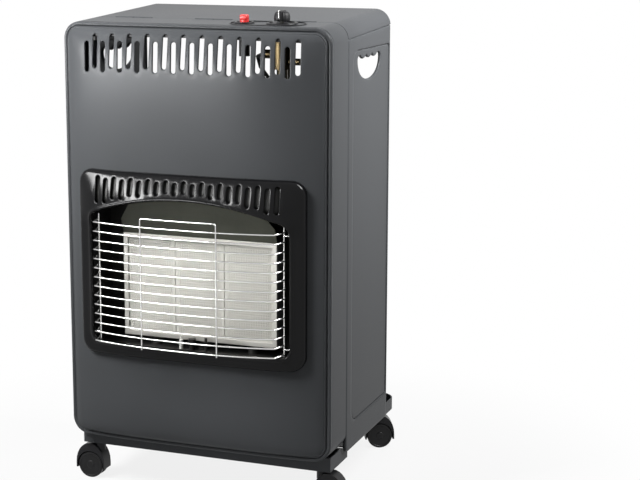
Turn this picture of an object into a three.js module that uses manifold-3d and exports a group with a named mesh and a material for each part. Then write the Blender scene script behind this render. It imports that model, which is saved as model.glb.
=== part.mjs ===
// Portable gas cabinet heater that folds flat: a front unit with three ceramic infrared plaques, a rear
// lid, two side panels and a bottle tray that are hinged to it, and four swivel casters.
// Millimetres. X runs to the right as seen from the front, Y to the back, Z up. While it is built, Y is 0
// on the front rim and Z is 0 on the floor; at the end everything moves so that Y is 0 mid-way.
import * as THREE from 'three';
import { mergeVertices } from 'three/addons/utils/BufferGeometryUtils.js';
import Module from 'manifold-3d';

const wasm = await Module();
wasm.setup();

// ---------------------------------------------------------------- driving dimensions
const gap = 0.3; // between pieces that touch
const sheet = 2; // cabinet steel with its hem

const cabinet = {
  width: 420,
  bottom: 82,
  top: 710, // at the front rim
  cornerRadius: 25,
  unitDepth: 70, // front unit, rim to back edge
  rimDepth: 8, // rim of the pressed front panel
  rimBand: 5, // flat outer band of the rim
  rearFlange: 12, // in-turned edge at the back of the wrapper
  roofSlope: Math.tan(THREE.MathUtils.degToRad(3)), // roof rises to the back
};
const pillow = { depth: 24, power: 4, topSpan: 48, bottomSpan: 66, topShare: 0.2, bottomShare: 0.35 };

// Slots of a low and a high row in turn; their ends are measured down from the cabinet's top.
const vents = {
  count: 24, pitch: 14.3, width: 7, archRise: 3, lowFoot: 71.5, lowHead: 27, highFoot: 66, highHead: 16.5,
};

const surround = {
  margin: 31.5, bottom: 220, top: 497, cornerRadius: 22, wall: 2.5, standOut: 10,
  hoodReach: 11, lipDrop: 35, blendBelow: 20, blendAbove: 8, // the hood grows out between these heights
  side: 22.5, sill: 20, shoulderDrop: 65, crownRise: 26, openRadius: 14,
};
const louvres = { count: 21, pitch: 14.1, width: 6.5, headDrop: 8, footRise: 15, archRise: 14, stagger: 3 };
const pan = { sideInset: 8.5, floorInset: 6, topInset: 5, backInset: 8, wall: 1.5, mouthInset: 10 };

const plaque = { count: 3, width: 77.4, height: 145, thickness: 12, joint: 1.5, front: 14, aboveSill: 8 };
const burner = { rim: 5.4, plenumDepth: 13, ledge: 4, backWall: 3, footWidth: 20, footHeight: 40 };
const trim = { thickness: 2, lap: 1.6 };
const deflector = { wall: 1.4, shelf: 14, lean: 28, headRise: 8, shoulder: 22, corner: 34 };

const guard = {
  wire: 1.5, wires: 14, side: 7, aboveSill: 5, belowShoulder: 9, postFoot: 2, postHead: 1,
  reach: 9, bow: 18.1, bowPower: 2.4, bend: 6, loopX: 59.2, loopRise: 4, loopFoot: 3, weld: 0.8,
  hookLap: 10, hookAbove: 7, hookBelow: 5,
};

const knob = {
  fromSide: 88, y: 36, bezelRadius: 22.5, bezelBore: 9, bezelHeight: 2.4, skirtRadius: 15.5, skirtHeight: 5,
  gripRadius: 10.5, gripHeight: 13.5, shoulder: 0.8, edge: 1.5, barHalf: 3.5, barInset: 1, barRise: 1.5,
  travel: 3, lift: 0.6,
};
const bezelEdge = { inset: 1.4, share: 0.4 };
const spindle = { radius: 3, holeRadius: 7, depth: 12, flat: 1 };
const valve = {
  drop: 20, height: 42, radius: 13, portRadius: 6.5, portLength: 15, outletRadius: 5, outletDrop: 10,
  stemRadius: 7, stemClear: 6, capRadius: 8, capHeight: 14,
};
const valveShelf = { halfWidth: 30, halfDepth: 14 };
const igniter = {
  fromKnob: 58, y: 36, bezelRadius: 14.5, bezelHeight: 2.2, bezelBore: 8.3, recess: 1, bodyRadius: 8,
  bodyLength: 46, wall: 1.5, hammer: 22, button: 11, buttonHeight: 8, buttonFoot: 10, travel: 5,
  terminalRadius: 2.2, terminal: 6,
};

const mixer = { radius: 9, bore: 7.4, length: 34, behind: 5, portShift: 2 };
const manifold = { radius: 5, drop: 62, overhang: 13.1, jetRadius: 4.5, jetLap: 6 };
const hanger = { overhang: 6, footFront: 4, shelf: 14, clear: 1 };
const feedPipe = { radius: 3.2, fromSide: 21, y: 40 };
const pilot = {
  x: -8, y: 2, clear: 5, height: 17, radius: 4.5, capLip: 1.4, capHeight: 4,
  foot: 2, footEnd: 6, footFront: 4, footBack: 6, armHalf: 3,
};
const pilotPipe = { radius: 2, fromSide: 32, y: 50 };
const probe = { x: 14, y: 3, radius: 2.2, height: 20, leadRadius: 1.3 };
const electrode = { x: -26, y: 3, radius: 3, height: 14, pin: 1 };
const ignitionLead = { radius: 1.6, fromSide: 22, y: 40 };
const inlet = {
  radius: 5, boreRadius: 3, length: 34, barbs: 5, barbPitch: 5, barbTaper: 1.2, neck: 1,
  elbow: 14, elbowHalf: 6, axis: 7.5, above: 8,
};

const base = { inset: 7, front: 22, height: 22, wall: 2, shelf: 28, shelfRise: 13.2, bossHeight: 16 };

const sideHinge = {
  fromSide: 8.5, behind: 4, barrel: 3.3, bore: 1.8, pin: 1.5, pinReach: 4, knuckle: 29, shorter: 10,
  leafReach: 22, leaf: 1.5, leafClear: 0.7, leafBelow: 8, leafAbove: 20, foot: 18, middleDrop: 24, head: 70,
};
const sidePanel = {
  thickness: 5, clear: 1, length: 196, drop: 7, topGap: 0.7, cornerRadius: 10,
  fieldInset: 25, fieldFoot: 40, fieldHead: 41, fieldRadius: 20, fieldDepth: 1,
  gripLength: 105, gripHead: 47, gripDrop: 41, gripCorner: 6, scallops: 4, scallopDepth: 5,
};
const lid = { clear: 1.3, flange: 23 };
const lidHinge = {
  behind: 2.8, below: 1.2, barrel: 2.2, bore: 1.35, pin: 1.1, knuckle: 30, spacing: 130, notch: 0.5,
  leaf: 1, leafTop: 4, leafDrop: 16, strap: 1.4,
};

const trayHinge = {
  behind: 6, rise: 9.5, barrel: 3, bore: 1.8, pin: 1.5, knuckle: 30, spacing: 140, notch: 1.2,
};
const tray = {
  overhang: 1.2, rise: 11.5, floorThickness: 2, reach: 75, cornerRadius: 30, rimClear: 3, rimHeight: 18.5,
  rimWall: 2, bossRadius: 9, bossRise: 0.2,
};

const caster = {
  frontInset: 19, frontSetback: 18, rearInset: 38.7, rearSetback: 15, rearTurn: 25,
  wheelRadius: 20.5, wheelSides: 20, trail: 13, halfWidth: 11.5, wheelWidth: 7.4, wheelEndClear: 0.6,
  hoodRadius: 24, hoodDrop: 4.5, hoodFoot: 15, hoodShoulder: 3, hoodCrown: 12, wheelClearance: 1.4, web: 2.8,
  axle: 3, axleBore: 3.4, collarRadius: 8.5, collarHeight: 16.1, collarClear: 0.4, stem: 5, stemBore: 5.4,
  frontStem: 13, stemEndClear: 0.8,
};

// ---------------------------------------------------------------- derived places
const half = cabinet.width / 2;
const unitBack = cabinet.unitDepth;
const roofAt = (y) => cabinet.top + y * cabinet.roofSlope;

surround.halfWidth = half - surround.margin;
surround.openHalf = surround.halfWidth - surround.side;
surround.openBottom = surround.bottom + surround.sill;
surround.openShoulder = surround.top - surround.shoulderDrop;
surround.openCrown = surround.openShoulder + surround.crownRise;
surround.hoodLip = surround.top - surround.lipDrop;
louvres.foot = surround.openShoulder + louvres.footRise;
louvres.head = surround.top - louvres.headDrop;
pan.halfWidth = surround.halfWidth - pan.sideInset;
pan.bottom = surround.bottom + pan.floorInset;
pan.top = surround.top - pan.topInset;
pan.back = unitBack - pan.backInset;

plaque.pitch = plaque.width + plaque.joint;
plaque.centreZ = surround.openBottom + plaque.aboveSill + plaque.height / 2;
const plaqueBack = plaque.front + plaque.thickness;
const plaqueBottom = plaque.centreZ - plaque.height / 2;
const plaqueTop = plaque.centreZ + plaque.height / 2;
const burnerHalf = ((plaque.count - 1) * plaque.pitch + plaque.width) / 2 + burner.rim;
const burnerBottom = plaqueBottom - burner.rim;
const burnerTop = plaqueTop + burner.rim;
const burnerBack = plaqueBack + burner.plenumDepth + burner.backWall;

guard.postX = surround.openHalf - guard.side;
guard.bottom = surround.openBottom + guard.aboveSill;
guard.top = surround.openShoulder - guard.belowShoulder;
guard.cornerY = -pillow.depth - surround.standOut - guard.reach;
guard.bowY = guard.cornerY - guard.bow;
guard.hookOut = surround.openHalf + guard.hookLap;

knob.x = half - knob.fromSide;
igniter.x = knob.x - igniter.fromKnob;
valve.top = cabinet.top - valve.drop;
valve.bottom = valve.top - valve.height;
valve.stemTop = cabinet.top - sheet - valve.stemClear;
mixer.y = plaqueBack + mixer.behind;
manifold.halfLength = plaque.pitch + manifold.overhang;
manifold.z = burnerBottom - manifold.drop;
feedPipe.x = half - feedPipe.fromSide;
pilotPipe.x = half - pilotPipe.fromSide;
ignitionLead.x = ignitionLead.fromSide - half;
pilot.bottom = pan.bottom + pilot.clear;

base.halfWidth = half - base.inset;
base.bottom = cabinet.bottom - base.height;
base.shelfBack = unitBack + base.shelf;
base.shelfTop = base.bottom + base.shelfRise;
sideHinge.x = half - sideHinge.fromSide;
sideHinge.y = unitBack + sideHinge.behind;
sideHinge.levels = [
  cabinet.bottom + sideHinge.foot,
  (cabinet.bottom + cabinet.top) / 2 - sideHinge.middleDrop,
  cabinet.top - sideHinge.head,
]; // bottom of each pair of knuckles
sidePanel.front = unitBack + sidePanel.clear;
sidePanel.back = sidePanel.front + sidePanel.length;
sidePanel.bottom = cabinet.bottom - sidePanel.drop;
sidePanel.gripTop = cabinet.top - sidePanel.gripHead;
lid.front = unitBack + lid.clear;
lid.back = lid.front + sidePanel.length;
lidHinge.y = unitBack + lidHinge.behind;
lidHinge.z = roofAt(lidHinge.y) - lidHinge.below;
lidHinge.centres = [-lidHinge.spacing, 0, lidHinge.spacing];
trayHinge.y = base.shelfBack + trayHinge.behind;
trayHinge.z = base.bottom + trayHinge.rise;
trayHinge.centres = [-trayHinge.spacing, 0, trayHinge.spacing];
tray.halfWidth = base.halfWidth + tray.overhang;
tray.floor = base.bottom + tray.rise;
tray.back = sidePanel.back + tray.reach;
tray.rimFront = sidePanel.back + tray.rimClear;
tray.rimTop = tray.floor + tray.rimHeight;
tray.bossBottom = base.bottom + tray.bossRise;
caster.frontX = base.halfWidth - caster.frontInset;
caster.frontY = base.front + caster.frontSetback;
caster.rearX = tray.halfWidth - caster.rearInset;
caster.rearY = tray.back - caster.rearSetback;
caster.hoodTop = base.bottom - caster.hoodDrop;
caster.collarTop = base.bottom - caster.collarClear;

// How far the pressed front stands forward of its rim.
function quarterRound(share) {
  const t = Math.min(Math.max(share, 0), 1);
  return Math.sqrt(1 - (1 - t) ** 2);
}
function panelFront(x, z) {
  const across = Math.max(0, 1 - Math.abs(x / (half - cabinet.rimBand)) ** pillow.power);
  const fromTop = quarterRound((cabinet.top - z) / pillow.topSpan);
  const fromBottom = quarterRound((z - cabinet.bottom) / pillow.bottomSpan);
  const up = pillow.topShare + (1 - pillow.topShare) * fromTop;
  const down = pillow.bottomShare + (1 - pillow.bottomShare) * fromBottom;
  return -pillow.depth * across * Math.min(up, down);
}
// The panel is drawn as flat strips between these columns, and what seats on it uses the same strips.
const skinColumns = spread(half, 14);
function columnsWithin(limit) {
  return [-limit, ...skinColumns.filter((x) => Math.abs(x) < limit - 1), limit];
}
function panelSkin(x, z) {
  const i = Math.min(Math.max(skinColumns.findIndex((column) => column >= x), 1), skinColumns.length - 1);
  const [x0, x1] = [skinColumns[i - 1], skinColumns[i]];
  return THREE.MathUtils.lerp(panelFront(x0, z), panelFront(x1, z), (x - x0) / (x1 - x0));
}
// The surround follows the front panel, and its upper part swells into a hood.
function surroundFront(x, z) {
  const { openShoulder, blendBelow, blendAbove } = surround;
  const rise = quarterRound((surround.top - z) / surround.lipDrop);
  const below = THREE.MathUtils.smoothstep(z, openShoulder - blendBelow, openShoulder + blendAbove);
  const across = Math.max(0, 1 - Math.abs(x / surround.halfWidth) ** 6);
  return panelSkin(x, z) - surround.standOut - surround.hoodReach * rise * below * across;
}

// ---------------------------------------------------------------- solids
function solid(geometry) {
  geometry.deleteAttribute('normal');
  geometry.deleteAttribute('uv');
  const merged = mergeVertices(geometry, 1e-4);
  const points = merged.getAttribute('position').array;
  const corner = merged.getIndex().array;
  const a = new THREE.Vector3();
  const b = new THREE.Vector3();
  const c = new THREE.Vector3();
  const kept = [];
  let volume = 0;
  for (let i = 0; i < corner.length; i += 3) {
    const [p, q, r] = [corner[i], corner[i + 1], corner[i + 2]];
    if (p === q || q === r || r === p) continue;
    a.fromArray(points, 3 * p);
    b.fromArray(points, 3 * q);
    c.fromArray(points, 3 * r);
    volume += a.dot(b.cross(c));
    kept.push(p, q, r);
  }
  if (volume < 0) kept.reverse();
  return new wasm.Manifold(new wasm.Mesh({
    numProp: 3, vertProperties: Float32Array.from(points), triVerts: Uint32Array.from(kept),
  }));
}
function join(pieces) {
  return pieces.reduce((whole, piece) => whole.add(piece));
}
function box(x0, x1, y0, y1, z0, z1) {
  const geometry = new THREE.BoxGeometry(Math.abs(x1 - x0), Math.abs(y1 - y0), Math.abs(z1 - z0));
  geometry.translate((x0 + x1) / 2, (y0 + y1) / 2, (z0 + z1) / 2);
  return solid(geometry);
}
function extruded(shape, depth, curveSegments) {
  return new THREE.ExtrudeGeometry(shape, { depth, bevelEnabled: false, curveSegments });
}
// A shape drawn in X and Z, between two values of Y.
function alongY(shape, y0, y1, curveSegments = 6) {
  const geometry = extruded(shape, y1 - y0, curveSegments);
  geometry.rotateX(Math.PI / 2);
  geometry.translate(0, y1, 0);
  return solid(geometry);
}
// A shape drawn in Y and Z, between two values of X.
function alongX(shape, x0, x1, curveSegments = 6) {
  const geometry = extruded(shape, Math.abs(x1 - x0), curveSegments);
  const turn = new THREE.Matrix4().makeBasis(
    new THREE.Vector3(0, 1, 0), new THREE.Vector3(0, 0, 1), new THREE.Vector3(1, 0, 0));
  geometry.applyMatrix4(turn);
  geometry.translate(Math.min(x0, x1), 0, 0);
  return solid(geometry);
}
// A shape drawn in X and Y, between two values of Z.
function alongZ(shape, z0, z1, curveSegments = 6) {
  const geometry = extruded(shape, z1 - z0, curveSegments);
  geometry.translate(0, 0, z0);
  return solid(geometry);
}
// A round solid on the Z axis from [radius, z] pairs that start and end on the axis.
function turned(profile, segments = 18) {
  const geometry = new THREE.LatheGeometry(profile.map(([r, z]) => new THREE.Vector2(r, z)), segments);
  geometry.rotateX(Math.PI / 2);
  return geometry;
}
function rod(radius, z0, z1, x = 0, y = 0, segments = 14) {
  const geometry = turned([[0, z0], [radius, z0], [radius, z1], [0, z1]], segments);
  geometry.translate(x, y, 0);
  return solid(geometry);
}
function rodX(radius, x0, x1, y, z, segments = 12) {
  const geometry = turned([[0, x0], [radius, x0], [radius, x1], [0, x1]], segments);
  geometry.rotateY(Math.PI / 2);
  geometry.translate(0, y, z);
  return solid(geometry);
}
function rodY(radius, y0, y1, x, z, segments = 12) {
  const geometry = turned([[0, -y1], [radius, -y1], [radius, -y0], [0, -y0]], segments);
  geometry.rotateX(Math.PI / 2);
  geometry.translate(x, 0, z);
  return solid(geometry);
}
function polygon(points) {
  return new THREE.Shape(points.map(([x, y]) => new THREE.Vector2(x, y)));
}
function roundedRectangle(x0, x1, y0, y1, r) {
  const shape = new THREE.Shape();
  shape.moveTo(x0 + r, y0);
  shape.lineTo(x1 - r, y0);
  shape.absarc(x1 - r, y0 + r, r, -Math.PI / 2, 0);
  shape.lineTo(x1, y1 - r);
  shape.absarc(x1 - r, y1 - r, r, 0, Math.PI / 2);
  shape.lineTo(x0 + r, y1);
  shape.absarc(x0 + r, y1 - r, r, Math.PI / 2, Math.PI);
  shape.lineTo(x0, y0 + r);
  shape.absarc(x0 + r, y0 + r, r, Math.PI, Math.PI * 1.5);
  return shape;
}
// An upright slot with bevelled round ends.
function slotShape(x, width, bottom, top) {
  const w = width / 2;
  const bevel = 0.55 * w;
  return polygon([[x - w + bevel, bottom], [x + w - bevel, bottom], [x + w, bottom + bevel], [x + w, top - bevel],
    [x + w - bevel, top], [x - w + bevel, top], [x - w, top - bevel], [x - w, bottom + bevel]]);
}
// A solid between two faces, each given as Y for every X and Z of a grid.
function between(front, back, xs, zs) {
  const positions = [];
  for (const face of [front, back]) {
    for (const z of zs) {
      for (const x of xs) positions.push(x, face(x, z), z);
    }
  }
  const columns = xs.length;
  const rows = zs.length;
  const at = (side, i, j) => side * columns * rows + j * columns + i;
  const index = [];
  const quad = (a, b, c, d) => index.push(a, b, c, a, c, d);
  for (let j = 0; j + 1 < rows; j += 1) {
    for (let i = 0; i + 1 < columns; i += 1) {
      quad(at(0, i, j), at(0, i + 1, j), at(0, i + 1, j + 1), at(0, i, j + 1));
      quad(at(1, i, j), at(1, i, j + 1), at(1, i + 1, j + 1), at(1, i + 1, j));
    }
  }
  for (let i = 0; i + 1 < columns; i += 1) {
    quad(at(1, i, 0), at(1, i + 1, 0), at(0, i + 1, 0), at(0, i, 0));
    quad(at(0, i, rows - 1), at(0, i + 1, rows - 1), at(1, i + 1, rows - 1), at(1, i, rows - 1));
  }
  for (let j = 0; j + 1 < rows; j += 1) {
    quad(at(1, 0, j), at(0, 0, j), at(0, 0, j + 1), at(1, 0, j + 1));
    quad(at(0, columns - 1, j), at(1, columns - 1, j), at(1, columns - 1, j + 1), at(0, columns - 1, j + 1));
  }
  const geometry = new THREE.BufferGeometry();
  geometry.setAttribute('position', new THREE.Float32BufferAttribute(positions, 3));
  geometry.setIndex(index);
  return solid(geometry);
}
// Values from -limit to limit that lie closer together towards the ends.
function spread(limit, steps, crowd = 1.7) {
  const values = [];
  for (let i = 0; i <= steps; i += 1) {
    const t = (2 * i) / steps - 1;
    values.push(limit * Math.sign(t) * (1 - (1 - Math.abs(t)) ** crowd));
  }
  return values;
}
function tube(points, radius, steps, sides = 6, tension = 0.4) {
  const route = points.map(([x, y, z]) => new THREE.Vector3(x, y, z));
  const curve = new THREE.CatmullRomCurve3(route, false, 'catmullrom', tension);
  const corners = [];
  for (let i = 0; i < sides; i += 1) {
    const angle = (2 * Math.PI * i) / sides;
    corners.push([radius * Math.cos(angle), radius * Math.sin(angle)]);
  }
  const geometry = new THREE.ExtrudeGeometry(polygon(corners), { steps, bevelEnabled: false, extrudePath: curve });
  return solid(geometry);
}
// Leans the roof: everything above mid-height rises with Y.
function withRoofSlope(piece) {
  return piece.warp((v) => {
    if (v[2] > (cabinet.bottom + cabinet.top) / 2) v[2] += v[1] * cabinet.roofSlope;
  });
}

// ---------------------------------------------------------------- materials
function finish(color, roughness, metalness) {
  return new THREE.MeshStandardMaterial({ color, roughness, metalness });
}
const finishes = {
  paint: () => finish(0x5d5e61, 0.45, 0.35),
  enamel: () => finish(0x101112, 0.12, 0.1),
  chrome: () => finish(0xd4d5d3, 0.18, 1),
  ceramic: () => finish(0xe9e4d6, 0.9, 0),
  steel: () => finish(0xa7a9a8, 0.35, 0.9),
  reflector: () => finish(0x55574c, 0.5, 0.7),
  black: () => finish(0x161617, 0.5, 0),
  brass: () => finish(0xb08d4a, 0.35, 0.9),
  copper: () => finish(0xa9673f, 0.35, 0.9),
  red: () => finish(0xb3221d, 0.35, 0),
  porcelain: () => finish(0xeeeeea, 0.4, 0),
};
const heater = new THREE.Group();
function add(name, piece, material) {
  const { vertProperties, triVerts } = piece.getMesh();
  const geometry = new THREE.BufferGeometry();
  geometry.setAttribute('position', new THREE.BufferAttribute(vertProperties, 3));
  geometry.setIndex(new THREE.BufferAttribute(triVerts, 1));
  geometry.computeVertexNormals();
  const mesh = new THREE.Mesh(geometry, material());
  mesh.name = name;
  heater.add(mesh);
}

// ---------------------------------------------------------------- front unit: casing
const outline = (inset) => roundedRectangle(
  -half + inset, half - inset, cabinet.bottom + inset, cabinet.top - inset, cabinet.cornerRadius - inset);

function panelLevels() {
  const { bottom, top } = cabinet;
  const low = [0, 0.06, 0.16, 0.32, 0.55, 1].map((share) => bottom + share * pillow.bottomSpan);
  const high = [1, 0.45, 0.2, 0.07, 0].map((share) => top - share * pillow.topSpan);
  return [...low, ...high];
}
function ventCuts() {
  const cuts = [];
  for (let i = 0; i < vents.count; i += 1) {
    const x = (i - (vents.count - 1) / 2) * vents.pitch;
    const arch = vents.archRise * (1 - (x / (vents.pitch * vents.count / 2)) ** 2);
    const low = i % 2 === 0;
    const bottom = cabinet.top - (low ? vents.lowFoot : vents.highFoot) + arch;
    const top = cabinet.top - (low ? vents.lowHead : vents.highHead) + arch;
    cuts.push(alongY(slotShape(x, vents.width, bottom, top), -2 * pillow.depth, cabinet.rimDepth));
  }
  return join(cuts);
}
function frontPanel() {
  const xs = skinColumns;
  const zs = panelLevels();
  const behind = cabinet.rimDepth;
  const outer = between(panelFront, () => behind, xs, zs).intersect(alongY(outline(0), -60, behind + 1));
  const inside = between((x, z) => panelFront(x, z) + sheet, () => behind + 1, xs, zs)
    .intersect(alongY(outline(sheet), -60, behind + 2));
  const mouth = roundedRectangle(
    -pan.halfWidth + pan.mouthInset, pan.halfWidth - pan.mouthInset,
    pan.bottom + pan.mouthInset, pan.top - pan.mouthInset, surround.openRadius);
  return outer.subtract(inside).subtract(alongY(mouth, -60, behind)).subtract(ventCuts());
}
function frontWrapper() {
  const start = cabinet.rimDepth + gap;
  const ring = alongY(outline(0), start, unitBack).subtract(alongY(outline(sheet), start - 1, unitBack - sheet))
    .subtract(alongY(outline(cabinet.rearFlange), start - 1, unitBack + 1));
  const drop = cabinet.top - 3 * cabinet.rearFlange;
  const knobHole = rod(spindle.holeRadius, drop, roofAt(unitBack) + 9, knob.x, knob.y);
  const igniterHole = rod(igniter.bodyRadius + gap, drop, roofAt(unitBack) + 9, igniter.x, igniter.y);
  return withRoofSlope(ring).subtract(knobHole).subtract(igniterHole);
}

// ---------------------------------------------------------------- front unit: burner
function arch(halfWidth, bottom, shoulder, crown, r) {
  const shape = new THREE.Shape();
  shape.moveTo(-halfWidth + r, bottom);
  shape.lineTo(halfWidth - r, bottom);
  shape.absarc(halfWidth - r, bottom + r, r, -Math.PI / 2, 0);
  shape.lineTo(halfWidth, shoulder - r);
  shape.quadraticCurveTo(halfWidth, shoulder, halfWidth - r, shoulder + r / 3);
  shape.quadraticCurveTo(0, 2 * crown - shoulder, -halfWidth + r, shoulder + r / 3);
  shape.quadraticCurveTo(-halfWidth, shoulder, -halfWidth, shoulder - r);
  shape.lineTo(-halfWidth, bottom + r);
  shape.absarc(-halfWidth + r, bottom + r, r, Math.PI, Math.PI * 1.5);
  return shape;
}
function louvreCuts() {
  const cuts = [];
  const last = (louvres.count - 1) / 2;
  for (let i = 0; i < louvres.count; i += 1) {
    const x = (i - last) * louvres.pitch;
    const rise = louvres.archRise * (1 - (x / (last * louvres.pitch)) ** 2);
    const inset = i % 2 === 0 ? 0 : louvres.stagger;
    const bottom = louvres.foot + rise + 0.4 * inset;
    cuts.push(alongY(slotShape(x, louvres.width, bottom, louvres.head - inset), -90, 0));
  }
  return join(cuts);
}
function burnerSurround() {
  const s = surround;
  const xs = columnsWithin(s.halfWidth);
  const blend = [-1, -0.3, 0.4].map((share) => s.openShoulder + share * s.blendBelow);
  const crown = [1, 0.57, 0.26, 0.06, 0].map((share) => s.top - share * s.lipDrop);
  const zs = [s.bottom, ...blend, ...crown];
  const rectangle = (inset) => roundedRectangle(
    -s.halfWidth + inset, s.halfWidth - inset, s.bottom + inset, s.top - inset, s.cornerRadius - inset);
  const outer = between(surroundFront, (x, z) => panelSkin(x, z) - gap, xs, zs)
    .intersect(alongY(rectangle(0), -90, 10));
  const inside = between((x, z) => surroundFront(x, z) + s.wall, () => 10, xs, zs)
    .intersect(alongY(rectangle(s.wall), -90, 12));
  const opening = arch(s.openHalf, s.openBottom, s.openShoulder, s.openCrown, s.openRadius);
  return outer.subtract(inside).subtract(alongY(opening, -90, 10, 10)).subtract(louvreCuts());
}
function burnerPan() {
  const { halfWidth: w, bottom, top, back, wall } = pan;
  const xs = columnsWithin(w);
  const zs = [bottom, top];
  const clear = sheet + gap;
  const outer = between((x, z) => panelSkin(x, z) + clear, () => back, xs, zs);
  const inside = box(-w + wall, w - wall, -60, back - wall, bottom + wall, top - wall);
  let body = outer.subtract(inside);
  const holes = plaqueCentres().map((x) => rod(mixer.radius + gap, bottom - 5, bottom + 5, x, mixer.y));
  holes.push(rod(pilotPipe.radius + 1, bottom - 5, bottom + 5, pilot.x, pilot.y, 12));
  holes.push(rod(probe.leadRadius + 1, bottom - 5, bottom + 5, probe.x, probe.y, 12));
  holes.push(rod(ignitionLead.radius + 1, bottom - 5, bottom + 5, electrode.x, electrode.y, 12));
  body = body.subtract(join(holes));
  return body;
}
function plaqueCentres() {
  const centres = [];
  for (let i = 0; i < plaque.count; i += 1) centres.push((i - (plaque.count - 1) / 2) * plaque.pitch);
  return centres;
}
function burnerHousing() {
  const front = plaque.front + trim.thickness;
  let body = box(-burnerHalf, burnerHalf, front, burnerBack, burnerBottom, burnerTop);
  for (const x of plaqueCentres()) {
    const w = plaque.width / 2 + gap;
    const h = plaque.height / 2 + gap;
    body = body.subtract(box(x - w, x + w, front - 1, plaqueBack + gap, plaque.centreZ - h, plaque.centreZ + h));
    const pw = w - burner.ledge;
    const ph = h - burner.ledge;
    const plenumBack = burnerBack - burner.backWall;
    body = body.subtract(box(x - pw, x + pw, plaqueBack, plenumBack, plaque.centreZ - ph, plaque.centreZ + ph));
    body = body.subtract(rod(mixer.bore, burnerBottom - 1, plaque.centreZ, x, mixer.y + mixer.portShift, 12));
  }
  const footHalf = burner.footWidth / 2;
  const z0 = plaque.centreZ - burner.footHeight / 2;
  for (const side of [-1, 1]) {
    const x = side * plaque.pitch;
    const back = pan.back - pan.wall - gap;
    body = body.add(box(x - footHalf, x + footHalf, burnerBack - 1, back, z0, z0 + burner.footHeight));
  }
  return body;
}
function plaqueTrim() {
  const outer = [-burnerHalf, burnerHalf, burnerBottom, burnerTop];
  const wide = (plaque.count - 1) * plaque.pitch / 2 + plaque.width / 2 - trim.lap;
  const front = plaque.front - gap - trim.thickness;
  const face = box(outer[0], outer[1], front, front + trim.thickness, outer[2], outer[3]);
  const open = box(-wide, wide, front - 1, plaque.front, plaqueBottom + trim.lap, plaqueTop - trim.lap);
  const reach = plaque.front + trim.thickness - gap;
  const rim = box(outer[0], outer[1], front, reach, outer[2], outer[3])
    .subtract(box(outer[0] + 2, outer[1] - 2, front - 1, reach + 1, outer[2] + 2, outer[3] - 2));
  return face.subtract(open).add(rim);
}
function heatDeflector() {
  const { wall, shelf, lean, headRise, shoulder, corner } = deflector;
  const low = burnerTop + gap;
  const high = surround.openCrown + headRise;
  const y = plaque.front;
  const section = polygon([[y + shelf, low], [y + shelf, low + wall], [y + wall / 2, low + wall],
    [y - lean + wall, high], [y - lean, high], [y - wall / 2, low]]);
  const face = polygon([[-burnerHalf, low - 1], [burnerHalf, low - 1], [burnerHalf, low + shoulder],
    [burnerHalf - corner, high + 1], [corner - burnerHalf, high + 1], [-burnerHalf, low + shoulder]]);
  return alongX(section, -burnerHalf, burnerHalf).intersect(alongY(face, -60, 60));
}
function ceramicPlaque(x) {
  const w = plaque.width / 2;
  return box(x - w, x + w, plaque.front, plaqueBack, plaqueBottom, plaqueTop);
}

// The wire guard: bowed cross wires whose ends turn back to two posts, hooks that hold the posts behind the
// surround, and an upright loop welded on the front. The bowed stretches with the loop are one node, and
// each end is another.
function guardBow(x) {
  return guard.bowY + guard.bow * Math.abs(x / guard.postX) ** guard.bowPower;
}
const guardPostY = surroundFront(guard.hookOut, plaque.centreZ) + surround.wall + gap + guard.wire;
const guardLevels = Array.from({ length: guard.wires }, (_, i) => (
  guard.bottom + (i * (guard.top - guard.bottom)) / (guard.wires - 1)));
const guardBendX = guard.postX - guard.bend;
function wireGuard() {
  const shares = [-1, -0.77, -0.4, 0, 0.4, 0.77, 1];
  const wires = guardLevels.map((z) => tube(
    shares.map((share) => [share * guardBendX, guardBow(share * guardBendX), z]), guard.wire, 8, 4));
  return join([...wires, guardLoop()]);
}
function guardLoop() {
  const { wire, loopX, bottom, bend } = guard;
  const top = surround.openShoulder + guard.loopRise;
  const y = guardBow(loopX) - 2 * wire + guard.weld;
  const crown = guardBow(0) - 2 * wire + guard.weld;
  const right = [[loopX, y, bottom - guard.loopFoot], [loopX, y, (bottom + top) / 2], [loopX, y, top - bend],
    [loopX - bend, y, top]];
  const left = right.map(([x, ...rest]) => [-x, ...rest]).reverse();
  return tube([...right, [0, crown, top], ...left], wire, 24, 5);
}
function guardEnd(side) {
  const { wire, postX, cornerY, hookOut } = guard;
  // The first stretch carries on in the bow's direction, so that the two nodes meet face to face.
  const start = guardBendX + gap;
  const next = start + wire;
  const parts = guardLevels.map((z) => tube([[side * start, guardBow(start), z], [side * next, guardBow(next), z],
    [side * postX, cornerY + wire * 2, z], [side * postX, guardPostY, z]], wire, 5, 4));
  const x = side * postX;
  const [foot, head] = [surround.openBottom - guard.postFoot, surround.openShoulder - guard.postHead];
  parts.push(rod(wire, foot, head, x, guardPostY, 6));
  for (const z of [guard.bottom + guard.hookAbove, guard.top - guard.hookBelow]) {
    parts.push(rodX(wire, Math.min(x, side * hookOut), Math.max(x, side * hookOut), guardPostY, z, 6));
  }
  return join(parts);
}

// ---------------------------------------------------------------- front unit: gas and ignition
function mixerTube(x) {
  const top = burnerBottom - gap;
  const z0 = top - mixer.length;
  return rod(mixer.radius, z0, top, x, mixer.y).subtract(rod(mixer.bore, z0 - 1, top + 1, x, mixer.y));
}
function gasManifold() {
  const { radius, halfLength, z, jetRadius, jetLap } = manifold;
  const pieces = [rodX(radius, -halfLength, halfLength, mixer.y, z)];
  const jetTop = burnerBottom - gap - mixer.length + jetLap;
  for (const x of plaqueCentres()) pieces.push(rod(jetRadius, z, jetTop, x, mixer.y, 12));
  return join(pieces);
}
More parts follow.
